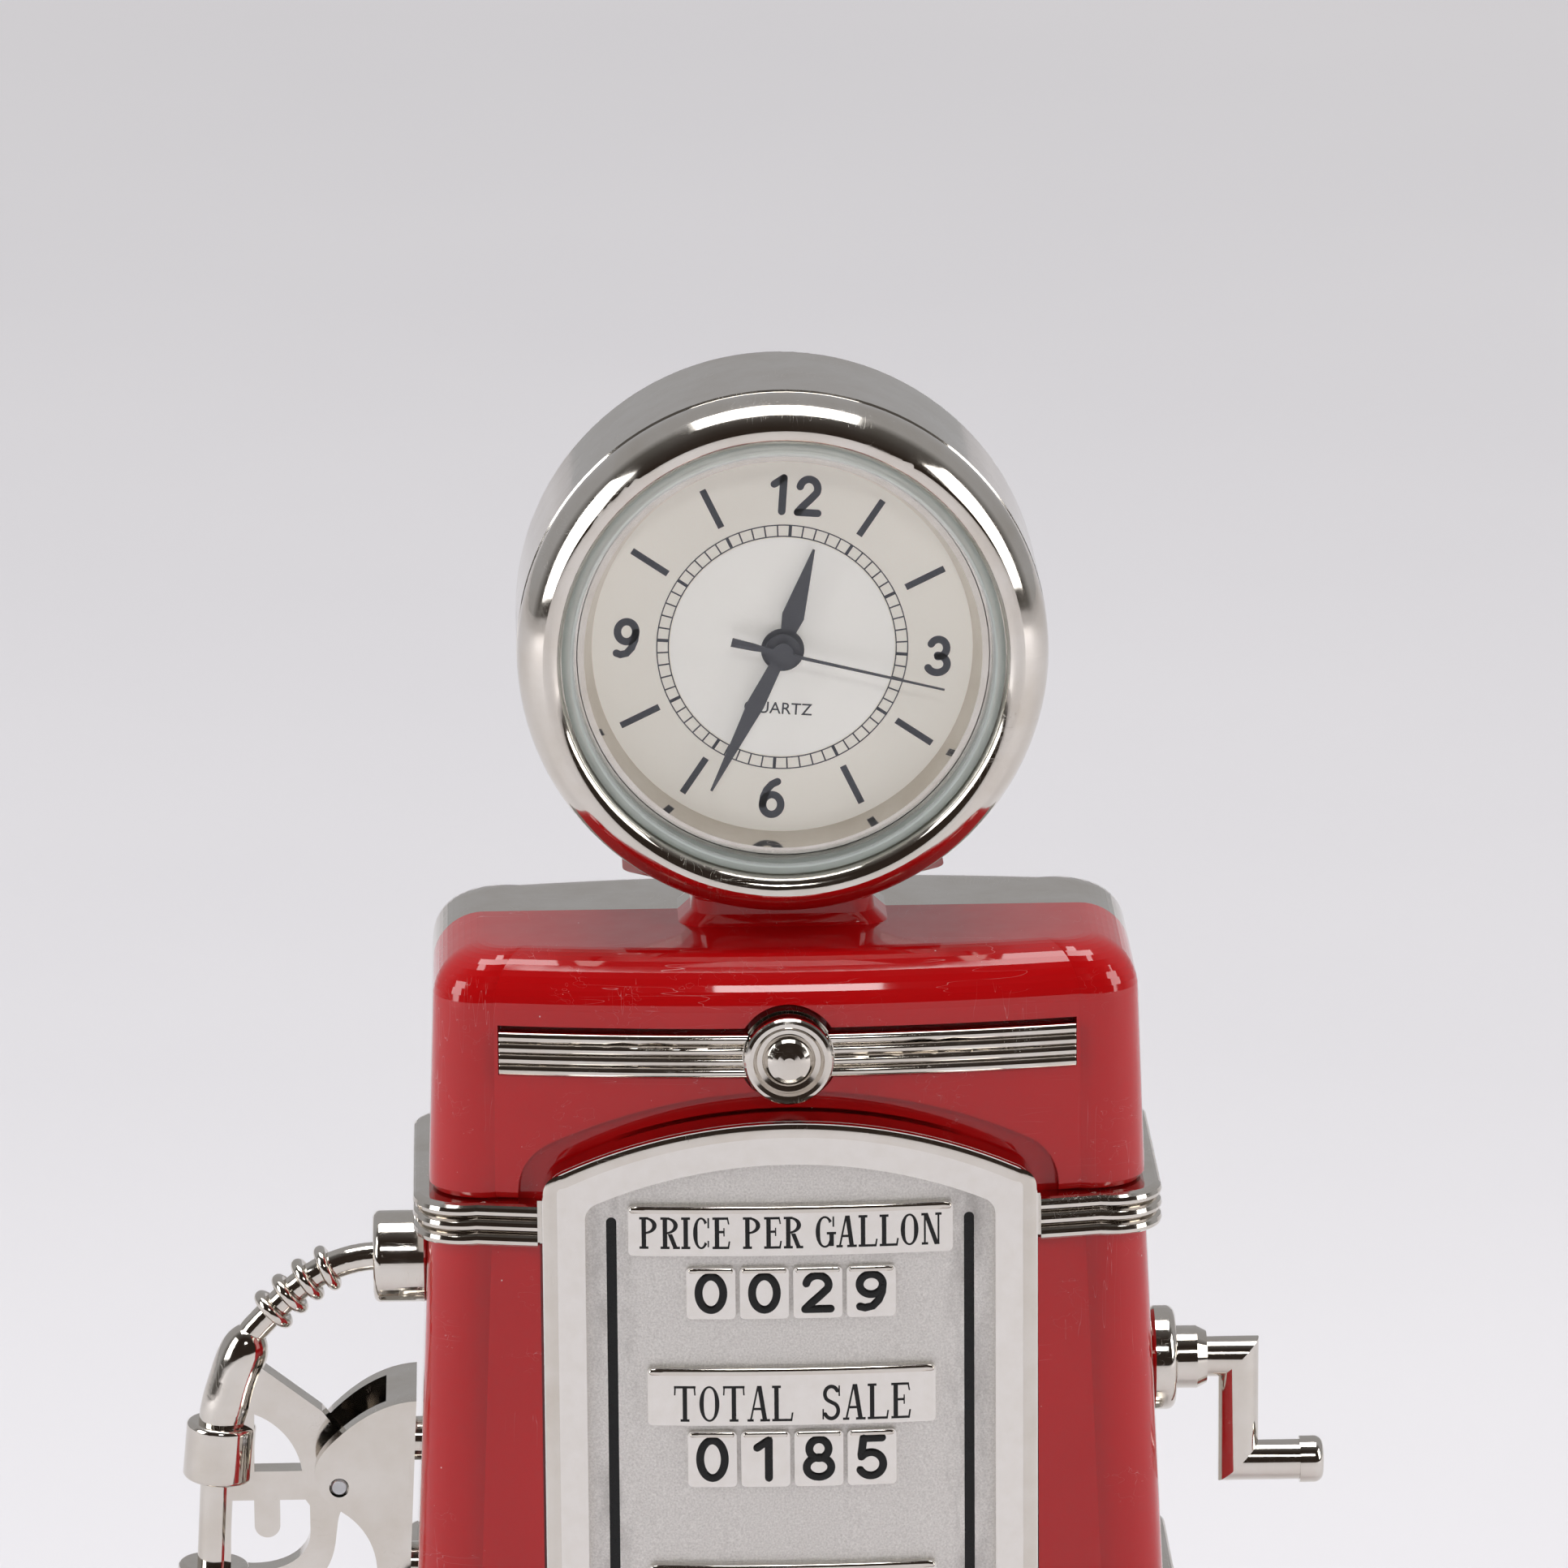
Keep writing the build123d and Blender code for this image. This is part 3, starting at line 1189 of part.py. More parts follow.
with BuildPart() as hose_grommet:
    with BuildSketch(Plane(origin=(0, 4.6, 20.4), x_dir=(1, 0, 0), z_dir=(0, -1, 0))):
        with BuildLine():
            xg = -side_x(20.4)
            Polyline((xg + 0.05, 1.5), (xg - 0.95, 1.5), (xg - 0.95, 2.1), (xg - 0.7, 2.35), (xg - 0.1, 2.35), (xg - 0.1, 1.7), (xg + 2.6, 1.7), (xg + 2.6, 1.5), close=True)
        make_face()
    revolve(axis=Axis((0, 4.6, 20.4), (1, 0, 0)))
hose_grommet.part.label = "hose_grommet"

# ---------------------------------------------------------------- STEP files
for piece in (
    front_shell, rear_shell, upper_belt, lower_belt, cap_front, cap_rear, case_screws, cap_screws,
    base_screws, head_screw, bracket_screws, plinth, base_pad, faceplate, slot_inlays,
    faceplate_nuts, trim_bar, medallion, trim_nuts, clock_housing, grip_gasket, bezel, crystal,
    reflector_ring, dial, insert_case, case_back, movement_ring, movement_plate, train_bridge,
    circuit_board, coil, stator, battery, battery_clip, rotor, fifth_wheel, seconds_wheel,
    third_wheel, centre_wheel, minute_wheel, hour_wheel, hour_hand, minute_hand, second_hand,
    winding_stem, crown, setting_lever, crank_escutcheon, crank, crank_clip, nozzle_boot,
    holster_bracket, holster_pin, nozzle, hose_coupling, hose, hose_grommet,
):
    export_step(piece.part, f"parts/{piece.part.label}.step")
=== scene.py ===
"""Looks for the desk clock shaped like an old fuel pump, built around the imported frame. Lengths below are in mm unless noted."""

import json
import math

import bmesh
import bpy
from mathutils import Matrix, Vector


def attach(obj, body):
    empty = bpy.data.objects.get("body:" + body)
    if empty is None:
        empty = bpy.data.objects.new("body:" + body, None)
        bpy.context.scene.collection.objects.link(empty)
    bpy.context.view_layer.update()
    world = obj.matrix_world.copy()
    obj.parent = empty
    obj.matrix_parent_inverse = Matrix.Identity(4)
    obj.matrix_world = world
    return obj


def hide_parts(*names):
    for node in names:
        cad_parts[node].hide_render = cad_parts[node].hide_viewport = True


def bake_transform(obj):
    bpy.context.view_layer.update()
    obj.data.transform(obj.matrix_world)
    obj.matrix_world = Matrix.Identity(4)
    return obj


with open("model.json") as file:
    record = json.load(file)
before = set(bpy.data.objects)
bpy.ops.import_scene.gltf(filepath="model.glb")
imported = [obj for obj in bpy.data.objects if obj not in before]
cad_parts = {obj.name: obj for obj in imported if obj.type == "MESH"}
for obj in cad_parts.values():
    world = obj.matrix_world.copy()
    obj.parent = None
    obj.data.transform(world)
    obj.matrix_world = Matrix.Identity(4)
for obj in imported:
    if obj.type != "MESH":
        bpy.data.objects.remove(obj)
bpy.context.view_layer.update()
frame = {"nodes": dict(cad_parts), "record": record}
NODES = frame["nodes"]
MM = 0.001
R88 = 88.0
CLOCK_Z = 77.2
TURN = math.radians(4.2)


# ------------------------------------------------------------------ node material helper
class Mat:
    def __init__(self, name):
        self.m = bpy.data.materials.new(name)
        self.m.use_nodes = True
        self.t = self.m.node_tree
        self.t.nodes.clear()
        self.out = self.n("ShaderNodeOutputMaterial")
        self.b = self.n("ShaderNodeBsdfPrincipled")
        self.link(self.b.outputs[0], self.out.inputs[0])
        co = self.n("ShaderNodeTexCoord").outputs["Object"]
        sc = self.n("ShaderNodeVectorMath", operation="SCALE")
        sc.inputs["Scale"].default_value = 1000.0
        self.link(co, sc.inputs[0])
        self.p = sc.outputs[0]                       # position in mm
        s = self.n("ShaderNodeSeparateXYZ")
        self.link(self.p, s.inputs[0])
        self.x, self.y, self.z = s.outputs

    def n(self, kind, **kw):
        node = self.t.nodes.new(kind)
        for k, v in kw.items():
            setattr(node, k, v)
        return node

    def link(self, a, b):
        self.t.links.new(a, b)

    def put(self, sock, v):
        if hasattr(v, "links") or hasattr(v, "is_output"):
            self.link(v, sock)
        else:
            sock.default_value = v

    def set(self, name, v):
        if isinstance(v, tuple) and len(v) == 3:
            v = (*v, 1.0)
        self.put(self.b.inputs[name], v)
        return self

    def math(self, op, a, b=None, c=None, clamp=False):
        m = self.n("ShaderNodeMath", operation=op)
        m.use_clamp = clamp
        self.put(m.inputs[0], a)
        if b is not None:
            self.put(m.inputs[1], b)
        if c is not None:
            self.put(m.inputs[2], c)
        return m.outputs[0]

    def noise(self, scale, detail=3.0, rough=0.5, vec=None, stretch=None):
        v = vec or self.p
        if stretch:
            mp = self.n("ShaderNodeMapping")
            mp.inputs["Scale"].default_value = stretch
            self.link(v, mp.inputs[0])
            v = mp.outputs[0]
        t = self.n("ShaderNodeTexNoise")
        t.inputs["Scale"].default_value = scale
        t.inputs["Detail"].default_value = detail
        t.inputs["Roughness"].default_value = rough
        self.link(v, t.inputs["Vector"])
        return t.outputs["Fac"]

    def voronoi(self, scale, feature="F1", out="Distance", vec=None):
        t = self.n("ShaderNodeTexVoronoi", feature=feature)
        t.inputs["Scale"].default_value = scale
        self.link(vec or self.p, t.inputs["Vector"])
        return t.outputs[out]

    def ramp(self, v, a, b, lo=0.0, hi=1.0):
        m = self.n("ShaderNodeMapRange")
        m.clamp = True
        self.put(m.inputs["Value"], v)
        for k, val in (("From Min", a), ("From Max", b), ("To Min", lo), ("To Max", hi)):
            m.inputs[k].default_value = val
        return m.outputs[0]

    def mix(self, f, a, b):
        m = self.n("ShaderNodeMix", data_type="RGBA")
        self.put(m.inputs[0], f)
        for s, v in ((m.inputs[6], a), (m.inputs[7], b)):
            self.put(s, (*v, 1.0) if isinstance(v, tuple) and len(v) == 3 else v)
        return m.outputs[2]

    def bump(self, h, strength, dist=0.02, prev=None):
        """h is a height in 0..1, dist its size in mm."""
        b = self.n("ShaderNodeBump")
        b.inputs["Strength"].default_value = strength
        b.inputs["Distance"].default_value = dist * MM
        self.put(b.inputs["Height"], h)
        if prev is not None:
            self.link(prev, b.inputs["Normal"])
        return b.outputs[0]


def srgb(r, g, b):
    f = lambda c: c / 12.92 / 255 if c <= 10.3 else ((c / 255 + 0.055) / 1.055) ** 2.4
    return (f(r), f(g), f(b))


def scratches(k, scale=0.35):
    """Thin hairlines in three directions, 0..1."""
    total = None
    for i, (sx, sy, sz) in enumerate(((0.25, 1.0, 4.0), (3.2, 1.0, 0.22), (1.6, 0.3, 2.6))):
        f = k.noise(scale * (1 + 0.35 * i), 2.0, 0.5, stretch=(sx, sy, sz))
        d = k.math("ABSOLUTE", k.math("SUBTRACT", f, 0.5))
        line = k.ramp(d, 0.0, 0.0022, 1.0, 0.0)
        gate = k.ramp(k.noise(0.16 + 0.05 * i, 1.0, stretch=(1, 1, 1)), 0.60, 0.64)
        line = k.math("MULTIPLY", line, gate)
        total = line if total is None else k.math("MAXIMUM", total, line)
    return total


def specks(k, scale, size, keep):
    """Isolated dust specks, 0..1."""
    d = k.voronoi(scale)
    c = k.voronoi(scale, out="Color")
    s = k.n("ShaderNodeSeparateColor")
    k.link(c, s.inputs[0])
    dot = k.ramp(d, size * 0.6, size, 1.0, 0.0)
    return k.math("MULTIPLY", dot, k.math("LESS_THAN", s.outputs[0], keep))


def lacquer():
    k = Mat("red_lacquer_finish")
    tone = k.noise(0.06, 2.0)
    col = k.mix(tone, srgb(168, 4, 8), srgb(184, 8, 12))
    dust = k.math("MAXIMUM", specks(k, 0.9, 0.045, 0.16), specks(k, 2.6, 0.05, 0.05))
    line = scratches(k)
    mark = k.math("MAXIMUM", dust, k.math("MULTIPLY", line, 0.28))
    k.set("Base Color", k.mix(mark, col, srgb(222, 190, 190)))
    k.set("Roughness", k.ramp(k.noise(0.5, 4.0), 0.3, 0.7, 0.30, 0.42))
    k.set("Specular IOR Level", 0.05)
    k.set("Coat Weight", k.math("SUBTRACT", 1.0, dust))
    k.set("Coat Roughness", k.ramp(k.noise(0.25, 5.0, 0.6), 0.35, 0.75, 0.03, 0.055))
    peel = k.bump(k.noise(0.9, 1.0, 0.4), 0.10, 0.012)
    b = k.bump(line, 0.25, 0.004, peel)
    k.link(b, k.b.inputs["Coat Normal"])
    k.link(k.bump(k.noise(3.0, 2.0), 0.2, 0.01), k.b.inputs["Normal"])
    return k.m


def nickel(name="polished_nickel_finish", base=(214, 209, 202), rough=(0.05, 0.13)):
    k = Mat(name)
    stain = k.ramp(k.noise(0.35, 5.0, 0.6), 0.35, 0.75)
    k.set("Base Color", k.mix(k.math("MULTIPLY", stain, 0.5), srgb(*base), srgb(190, 180, 166)))
    k.set("Metallic", 1.0)
    r = k.ramp(k.noise(0.8, 6.0, 0.62), 0.3, 0.75, rough[0], rough[1])
    line = scratches(k, 0.6)
    dust = specks(k, 1.7, 0.04, 0.06)
    k.set("Roughness", k.math("MAXIMUM", r, k.math("MULTIPLY", k.math("MAXIMUM", line, dust), 0.4)))
    wave = k.bump(k.noise(0.28, 1.0, 0.4), 0.18, 0.04)
    k.link(k.bump(line, 0.3, 0.003, wave), k.b.inputs["Normal"])
    return k.m


def plate_nickel():
    """Polished rim, labels and windows; sand-blasted panel between them, found by how far the face stands forward."""
    k = Mat("faceplate_finish")
    bow = k.math("SUBTRACT", R88, k.math("SQRT", k.math("SUBTRACT", R88 * R88, k.math("MULTIPLY", k.x, k.x))))
    reach = k.math("SUBTRACT", bow, k.y)
    satin = k.math("MULTIPLY", k.math("LESS_THAN", reach, 11.40), k.math("GREATER_THAN", reach, 11.30))
    grain = k.noise(9.0, 4.0, 0.7)
    pits = k.ramp(k.voronoi(5.5), 0.1, 0.5)
    # the panel is darker in streaks within 1.5 mm of the slots at |x| = 9.53 mm, mixed towards dark grey
    slot = k.math("ABSOLUTE", k.math("SUBTRACT", k.math("ABSOLUTE", k.x), 9.53))
    darker_by_slots = k.math("MULTIPLY", k.ramp(slot, 0.25, 1.5, 1.0, 0.0), k.ramp(k.noise(0.5, 4.0, 0.65, stretch=(1.0, 1.0, 0.35)), 0.45, 0.75))
    panel = k.mix(k.ramp(grain, 0.3, 0.75), srgb(202, 198, 194), srgb(240, 237, 233))
    panel = k.mix(k.math("MULTIPLY", darker_by_slots, 0.6), panel, srgb(92, 86, 82))
    shine = k.mix(k.ramp(k.noise(1.4, 5.0, 0.6), 0.35, 0.85), srgb(226, 222, 217), srgb(219, 214, 207))
    k.set("Base Color", k.mix(satin, shine, panel))
    k.set("Metallic", k.ramp(satin, 0.0, 1.0, 1.0, 0.85))
    k.set("Roughness", k.math("ADD", k.ramp(k.noise(0.9, 5.0), 0.3, 0.8, 0.10, 0.15), k.math("MULTIPLY", satin, 0.36)))
    h = k.math("MULTIPLY", satin, k.math("ADD", grain, k.math("MULTIPLY", pits, 0.4)))
    k.link(k.bump(h, 0.55, 0.03, k.bump(k.noise(0.25, 1.0), 0.1, 0.03)), k.b.inputs["Normal"])
    return k.m


def satin_metal(name, a, b, rough, stretch=(1, 1, 1), scale=4.0):
    k = Mat(name)
    g = k.noise(scale, 4.0, 0.65, stretch=stretch)
    k.set("Base Color", k.mix(g, srgb(*a), srgb(*b))).set("Metallic", 1.0)
    k.set("Roughness", k.ramp(g, 0.3, 0.7, rough - 0.06, rough + 0.08))
    k.link(k.bump(g, 0.3, 0.02), k.b.inputs["Normal"])
    return k.m


def enamel():
    k = Mat("black_enamel_finish")
    g = k.noise(1.2, 4.0)
    k.set("Base Color", k.mix(g, (0.003, 0.003, 0.003), (0.009, 0.009, 0.009)))
    k.set("Roughness", k.ramp(k.noise(2.2, 4.0), 0.3, 0.7, 0.16, 0.34)).set("Specular IOR Level", 0.28)
    k.link(k.bump(g, 0.5, 0.05), k.b.inputs["Normal"])
    return k.m


def rubber(name, a, b, rough):
    k = Mat(name)
    g = k.noise(6.0, 5.0, 0.7)
    k.set("Base Color", k.mix(g, srgb(*a), srgb(*b)))
    k.set("Roughness", k.ramp(k.noise(0.8, 4.0), 0.3, 0.7, rough - 0.08, rough + 0.12))
    k.link(k.bump(g, 0.35, 0.03), k.b.inputs["Normal"])
    return k.m


def plastic(name, a, b, rough):
    k = Mat(name)
    g = k.noise(2.5, 5.0, 0.6)
    k.set("Base Color", k.mix(g, srgb(*a), srgb(*b)))
    k.set("Roughness", k.ramp(g, 0.3, 0.7, rough, rough + 0.12))
    k.link(k.bump(g, 0.2, 0.02), k.b.inputs["Normal"])
    return k.m


def glass():
    """Flat glass with a ground bevel: clear over the dial, greenish grey and brighter at its edge."""
    k = Mat("clear_glass_finish")
    dz = k.math("SUBTRACT", k.z, CLOCK_Z)
    r = k.math("SQRT", k.math("ADD", k.math("MULTIPLY", k.x, k.x), k.math("MULTIPLY", dz, dz)))
    edge = k.ramp(r, 11.0, 11.25)
    smudge = k.ramp(k.noise(0.5, 5.0, 0.6), 0.5, 0.8, 0.0, 0.05)
    k.set("Base Color", k.mix(edge, (1.0, 1.0, 1.0), srgb(222, 230, 226)))
    k.set("Transmission Weight", 0.45).set("IOR", 1.45)
    k.set("Roughness", k.math("ADD", k.math("MULTIPLY", edge, 0.12), smudge))
    # light passes straight to the dial, so the print under the glass stays clean
    tr = k.n("ShaderNodeBsdfTransparent")
    tr.inputs[0].default_value = (1.0, 1.0, 1.0, 1)
    gl = k.n("ShaderNodeBsdfGlossy")
    gl.inputs["Roughness"].default_value = 0.03
    fr = k.n("ShaderNodeFresnel")
    fr.inputs["IOR"].default_value = 1.45
    thin = k.n("ShaderNodeMixShader")
    k.link(k.math("MULTIPLY", fr.outputs[0], 0.5), thin.inputs[0])
    k.link(tr.outputs[0], thin.inputs[1])
    k.link(gl.outputs[0], thin.inputs[2])
    both = k.n("ShaderNodeMixShader")
    k.link(edge, both.inputs[0])
    k.link(thin.outputs[0], both.inputs[1])
    k.link(k.b.outputs[0], both.inputs[2])
    k.link(both.outputs[0], k.out.inputs[0])
    return k.m


def dial_paint_and_glow():
    """Cream silver ring round a brighter disc whose fine brushing runs out from the middle, with a painted glow
    (emission) on both that makes the dial brighter than the lamps light it.
    """
    k = Mat("silver_dial_with_painted_glow")
    dz = k.math("SUBTRACT", k.z, CLOCK_Z)
    r = k.math("SQRT", k.math("ADD", k.math("MULTIPLY", k.x, k.x), k.math("MULTIPLY", dz, dz)))
    ang = k.math("ARCTAN2", dz, k.x)
    v = k.n("ShaderNodeCombineXYZ")
    k.link(k.math("MULTIPLY", k.math("COSINE", ang), 60.0), v.inputs[0])
    k.link(k.math("MULTIPLY", k.math("SINE", ang), 60.0), v.inputs[1])
    k.link(k.math("MULTIPLY", r, 0.12), v.inputs[2])
    ray = k.noise(1.0, 4.0, 0.6, vec=v.outputs[0])
    inner = k.math("LESS_THAN", r, 5.95)
    grain = k.noise(14.0, 3.0, 0.6)
    ring = k.mix(grain, srgb(236, 231, 222), srgb(246, 242, 234))
    disc = k.mix(ray, srgb(236, 234, 229), srgb(253, 251, 247))
    k.set("Base Color", k.mix(inner, ring, disc))
    k.set("Metallic", k.ramp(inner, 0, 1, 0.0, 0.12))
    k.set("Roughness", k.ramp(inner, 0.0, 1.0, 0.55, 0.38))
    # painted glow: the dial emits light of its own in its ring and disc colours, so it reads brighter than the lamps
    # alone make it
    k.set("Emission Color", k.mix(inner, srgb(214, 208, 198), srgb(228, 225, 219))).set("Emission Strength", 0.25)
    h = k.math("ADD", k.math("MULTIPLY", inner, ray), k.math("MULTIPLY", grain, 0.3))
    k.link(k.bump(h, 0.3, 0.02), k.b.inputs["Normal"])
    return k.m


def print_ink(name, a, b):
    k = Mat(name)
    g = k.noise(9.0, 3.0)
    k.set("Base Color", k.mix(g, srgb(*a), srgb(*b))).set("Roughness", k.ramp(g, 0.3, 0.7, 0.42, 0.55))
    k.link(k.bump(g, 0.15, 0.01), k.b.inputs["Normal"])
    return k.m


def copper():
    k = Mat("copper_coil_finish")
    w = k.n("ShaderNodeTexWave", wave_type="BANDS")
    w.inputs["Scale"].default_value = 6.0
    w.inputs["Distortion"].default_value = 0.4
    k.link(k.p, w.inputs["Vector"])
    k.set("Base Color", k.mix(w.outputs["Fac"], srgb(120, 62, 34), srgb(196, 118, 70))).set("Metallic", 1.0).set("Roughness", 0.35)
    k.link(k.bump(w.outputs["Fac"], 0.5, 0.04), k.b.inputs["Normal"])
    return k.m


LACQUER = lacquer()
NICKEL = nickel()
PLATE = plate_nickel()
INK = print_ink("dial_print_ink", (62, 65, 74), (78, 81, 90))
ENAMEL = enamel()
RUBBER = rubber("black_rubber_finish", (16, 16, 17), (30, 30, 32), 0.42)
FINISH = {
    "red_lacquer": LACQUER,
    "polished_nickel": NICKEL,
    "brushed_nickel": satin_metal("brushed_nickel_finish", (168, 164, 158), (196, 192, 186), 0.32, (8, 8, 0.4)),
    "black_enamel": ENAMEL,
    "steel_screw": satin_metal("steel_screw_finish", (168, 168, 170), (204, 204, 206), 0.24, (1, 1, 1), 2.0),
    "black_rubber": RUBBER,
    "grey_rubber": rubber("grey_rubber_finish", (70, 70, 72), (96, 96, 98), 0.5),
    "clear_glass": glass(),
    "silver_dial": dial_paint_and_glow(),
    "hand_grey": print_ink("hand_grey_finish", (74, 76, 83), (92, 94, 101)),
    "white_plastic": plastic("white_plastic_finish", (214, 212, 204), (230, 228, 222), 0.35),
    "movement_metal": satin_metal("movement_metal_finish", (178, 158, 104), (206, 188, 132), 0.28),
    "circuit_green": plastic("circuit_green_finish", (18, 78, 46), (30, 102, 60), 0.3),
    "copper_coil": copper(),
    "core_steel": satin_metal("core_steel_finish", (140, 140, 142), (176, 176, 178), 0.3),
    "cell_steel": satin_metal("cell_steel_finish", (176, 178, 180), (208, 208, 208), 0.2, (3, 3, 0.5)),
}
SLOT_OF = {s["node"]: s["material_slot"] for s in frame["record"]["subparts"]}
SPECIAL = {"faceplate": PLATE}

for name, obj in NODES.items():
    m = SPECIAL.get(name) or FINISH[SLOT_OF[name]]
    if obj.data.materials:
        for i in range(len(obj.data.materials)):
            obj.data.materials[i] = m
    else:
        obj.data.materials.append(m)


# ------------------------------------------------------------------ mesh helpers
def new_obj(name, verts, faces, mat, body, smooth=None):
    me = bpy.data.meshes.new(name)
    me.from_pydata([(x * MM, y * MM, z * MM) for x, y, z in verts], [], faces)
    bm = bmesh.new()
    bm.from_mesh(me)
    bmesh.ops.recalc_face_normals(bm, faces=bm.faces)
    bm.to_mesh(me)
    bm.free()
    ob = bpy.data.objects.new(name, me)
    bpy.context.scene.collection.objects.link(ob)
    me.materials.append(mat)
    if smooth is not None:
        for p in me.polygons:
            p.use_smooth = True
        me.set_sharp_from_angle(angle=math.radians(smooth))
    if body:
        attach(ob, body)
    return ob


class Flat:
    """Closed thin slabs gathered into one mesh. Outlines are in a flat (u, v) plane; place() maps (u, v, height) to mm."""

    def __init__(self):
        self.v, self.f = [], []

    def slab(self, pts, h0, h1):
        n, o = len(pts), len(self.v)
        self.v += [(u, w, h0) for u, w in pts] + [(u, w, h1) for u, w in pts]
        self.f.append(tuple(range(o + n - 1, o - 1, -1)))
        self.f.append(tuple(range(o + n, o + 2 * n)))
        self.f += [(o + i, o + (i + 1) % n, o + n + (i + 1) % n, o + n + i) for i in range(n)]

    def band(self, left, right, h0, h1, closed=False, crown=0.0):
        """Strip between two equally long rails; crown lifts its middle."""
        n, o = len(left), len(self.v)
        for (a, b) in zip(left, right):
            mid = ((a[0] + b[0]) / 2, (a[1] + b[1]) / 2)
            self.v += [(a[0], a[1], h0), (a[0], a[1], h1), (mid[0], mid[1], h1 + crown), (b[0], b[1], h1), (b[0], b[1], h0)]
        m = n if closed else n - 1
        for i in range(m):
            p, q = o + 5 * i, o + 5 * ((i + 1) % n)
            for a in range(5):
                b = (a + 1) % 5
                self.f.append((p + a, q + a, q + b, p + b))
        if not closed:
            self.f.append(tuple(o + k for k in range(5)))
            self.f.append(tuple(o + 5 * (n - 1) + k for k in (4, 3, 2, 1, 0)))

    def stroke(self, path, w, h0, h1, closed=False, crown=0.0):
        """Constant-width line along a path, with rounded ends when it is open."""
        n = len(path)
        left, right = [], []
        for i, p in enumerate(path):
            a = path[(i - 1) % n] if (closed or i) else p
            b = path[(i + 1) % n] if (closed or i < n - 1) else p
            dx, dy = b[0] - a[0], b[1] - a[1]
            d = math.hypot(dx, dy) or 1.0
            nx, ny = -dy / d, dx / d
            left.append((p[0] + nx * w / 2, p[1] + ny * w / 2))
            right.append((p[0] - nx * w / 2, p[1] - ny * w / 2))
        if not closed:
            for end in (0, -1):
                p = path[end]
                q = path[1] if end == 0 else path[-2]
                ax, ay = p[0] - q[0], p[1] - q[1]
                d = math.hypot(ax, ay) or 1.0
                ax, ay = ax / d, ay / d
                caps = []
                for t in (25, 50, 75, 88):
                    s, c = math.sin(math.radians(t)), math.cos(math.radians(t))
                    cx, cy = p[0] + ax * s * w / 2, p[1] + ay * s * w / 2
                    sg = 1 if end == 0 else -1
                    caps.append(((cx + ay * c * w / 2 * sg, cy - ax * c * w / 2 * sg), (cx - ay * c * w / 2 * sg, cy + ax * c * w / 2 * sg)))
                if end == 0:
                    left = [c[0] for c in reversed(caps)] + left
                    right = [c[1] for c in reversed(caps)] + right
                else:
                    left += [c[0] for c in caps]
                    right += [c[1] for c in caps]
        self.band(left, right, h0, h1, closed, crown)

    def place(self, fn):
        return [fn(*p) for p in self.v], self.f


def on_plate(reach):
    """(u, v, height) to the bowed face that stands `reach` in front of the origin."""
    return lambda u, v, h: (u, (R88 - reach) - math.sqrt(R88 * R88 - u * u) - h, v)


def on_dial(turn=TURN):
    """(u, v, height above the clock's zero plane) to mm, turned clockwise."""
    c, s = math.cos(turn), math.sin(turn)
    return lambda u, v, h: (u * c + v * s, -h, CLOCK_Z - u * s + v * c)


def ellipse(cx, cy, rx, ry, a0=0.0, a1=360.0, n=40):
    closed = abs(a1 - a0) >= 359.9
    m = n if closed else n + 1
    return [(cx + rx * math.cos(math.radians(a0 + (a1 - a0) * i / n)), cy + ry * math.sin(math.radians(a0 + (a1 - a0) * i / n))) for i in range(m)]


# ------------------------------------------------------------------ counter figures
DIGITS = {
    "0": [(ellipse(0.34, 0.5, 0.32, 0.5), True)],
    "1": [([(0.12, 0.80), (0.27, 0.90), (0.42, 1.0)], False), ([(0.42, 1.0), (0.42, 0.5), (0.42, 0.0)], False)],
    "2": [(ellipse(0.33, 0.72, 0.29, 0.28, 170, -25, 20) + [(0.40, 0.40), (0.16, 0.17), (0.01, 0.0)], False), ([(0.01, 0.0), (0.35, 0.0), (0.67, 0.0)], False)],
    "3": [(ellipse(0.33, 0.74, 0.27, 0.26, 155, -90, 18), False), (ellipse(0.32, 0.26, 0.33, 0.26, 90, -150, 22), False)],
    "4": [([(0.48, 0.0), (0.48, 0.5), (0.48, 1.0)], False), ([(0.48, 1.0), (0.24, 0.65), (0.0, 0.28)], False), ([(0.0, 0.28), (0.34, 0.28), (0.67, 0.28)], False)],
    "5": [([(0.60, 1.0), (0.36, 1.0), (0.12, 1.0)], False), ([(0.12, 1.0), (0.09, 0.78), (0.06, 0.56)], False), (ellipse(0.31, 0.31, 0.32, 0.31, 140, -150, 26), False)],
    "6": [(ellipse(0.34, 0.30, 0.30, 0.30), True), ([(0.04, 0.30), (0.06, 0.52), (0.15, 0.74), (0.30, 0.91), (0.48, 1.0)], False)],
    "8": [(ellipse(0.34, 0.75, 0.25, 0.25), True), (ellipse(0.34, 0.26, 0.32, 0.26), True)],
    "9": [(ellipse(0.34, 0.70, 0.30, 0.30), True), ([(0.64, 0.70), (0.62, 0.46), (0.53, 0.22), (0.38, 0.05), (0.18, 0.0), (0.05, 0.04)], False)],
}
CELLS = [(42.15, 45.0, "0029"), (32.7, 35.8, "0185"), (21.8, 24.7, "0064")]
for row, (z0, z1, text) in enumerate(CELLS):
    flat = Flat()
    h = (z1 - z0) - 0.62 - 0.36
    for i, ch in enumerate(text):
        cx = (i - 1.5) * 2.85
        for path, closed in DIGITS[ch]:
            flat.stroke([(cx + (u - 0.34) * 1.36 / 0.66, z0 + 0.33 + 0.18 + v * h) for u, v in path], 0.43, -0.02, 0.03, closed, 0.06)
    v, f = flat.place(on_plate(11.65))
    new_obj(f"counter_figures_{row + 1}", v, f, ENAMEL, "pump_case", smooth=50)

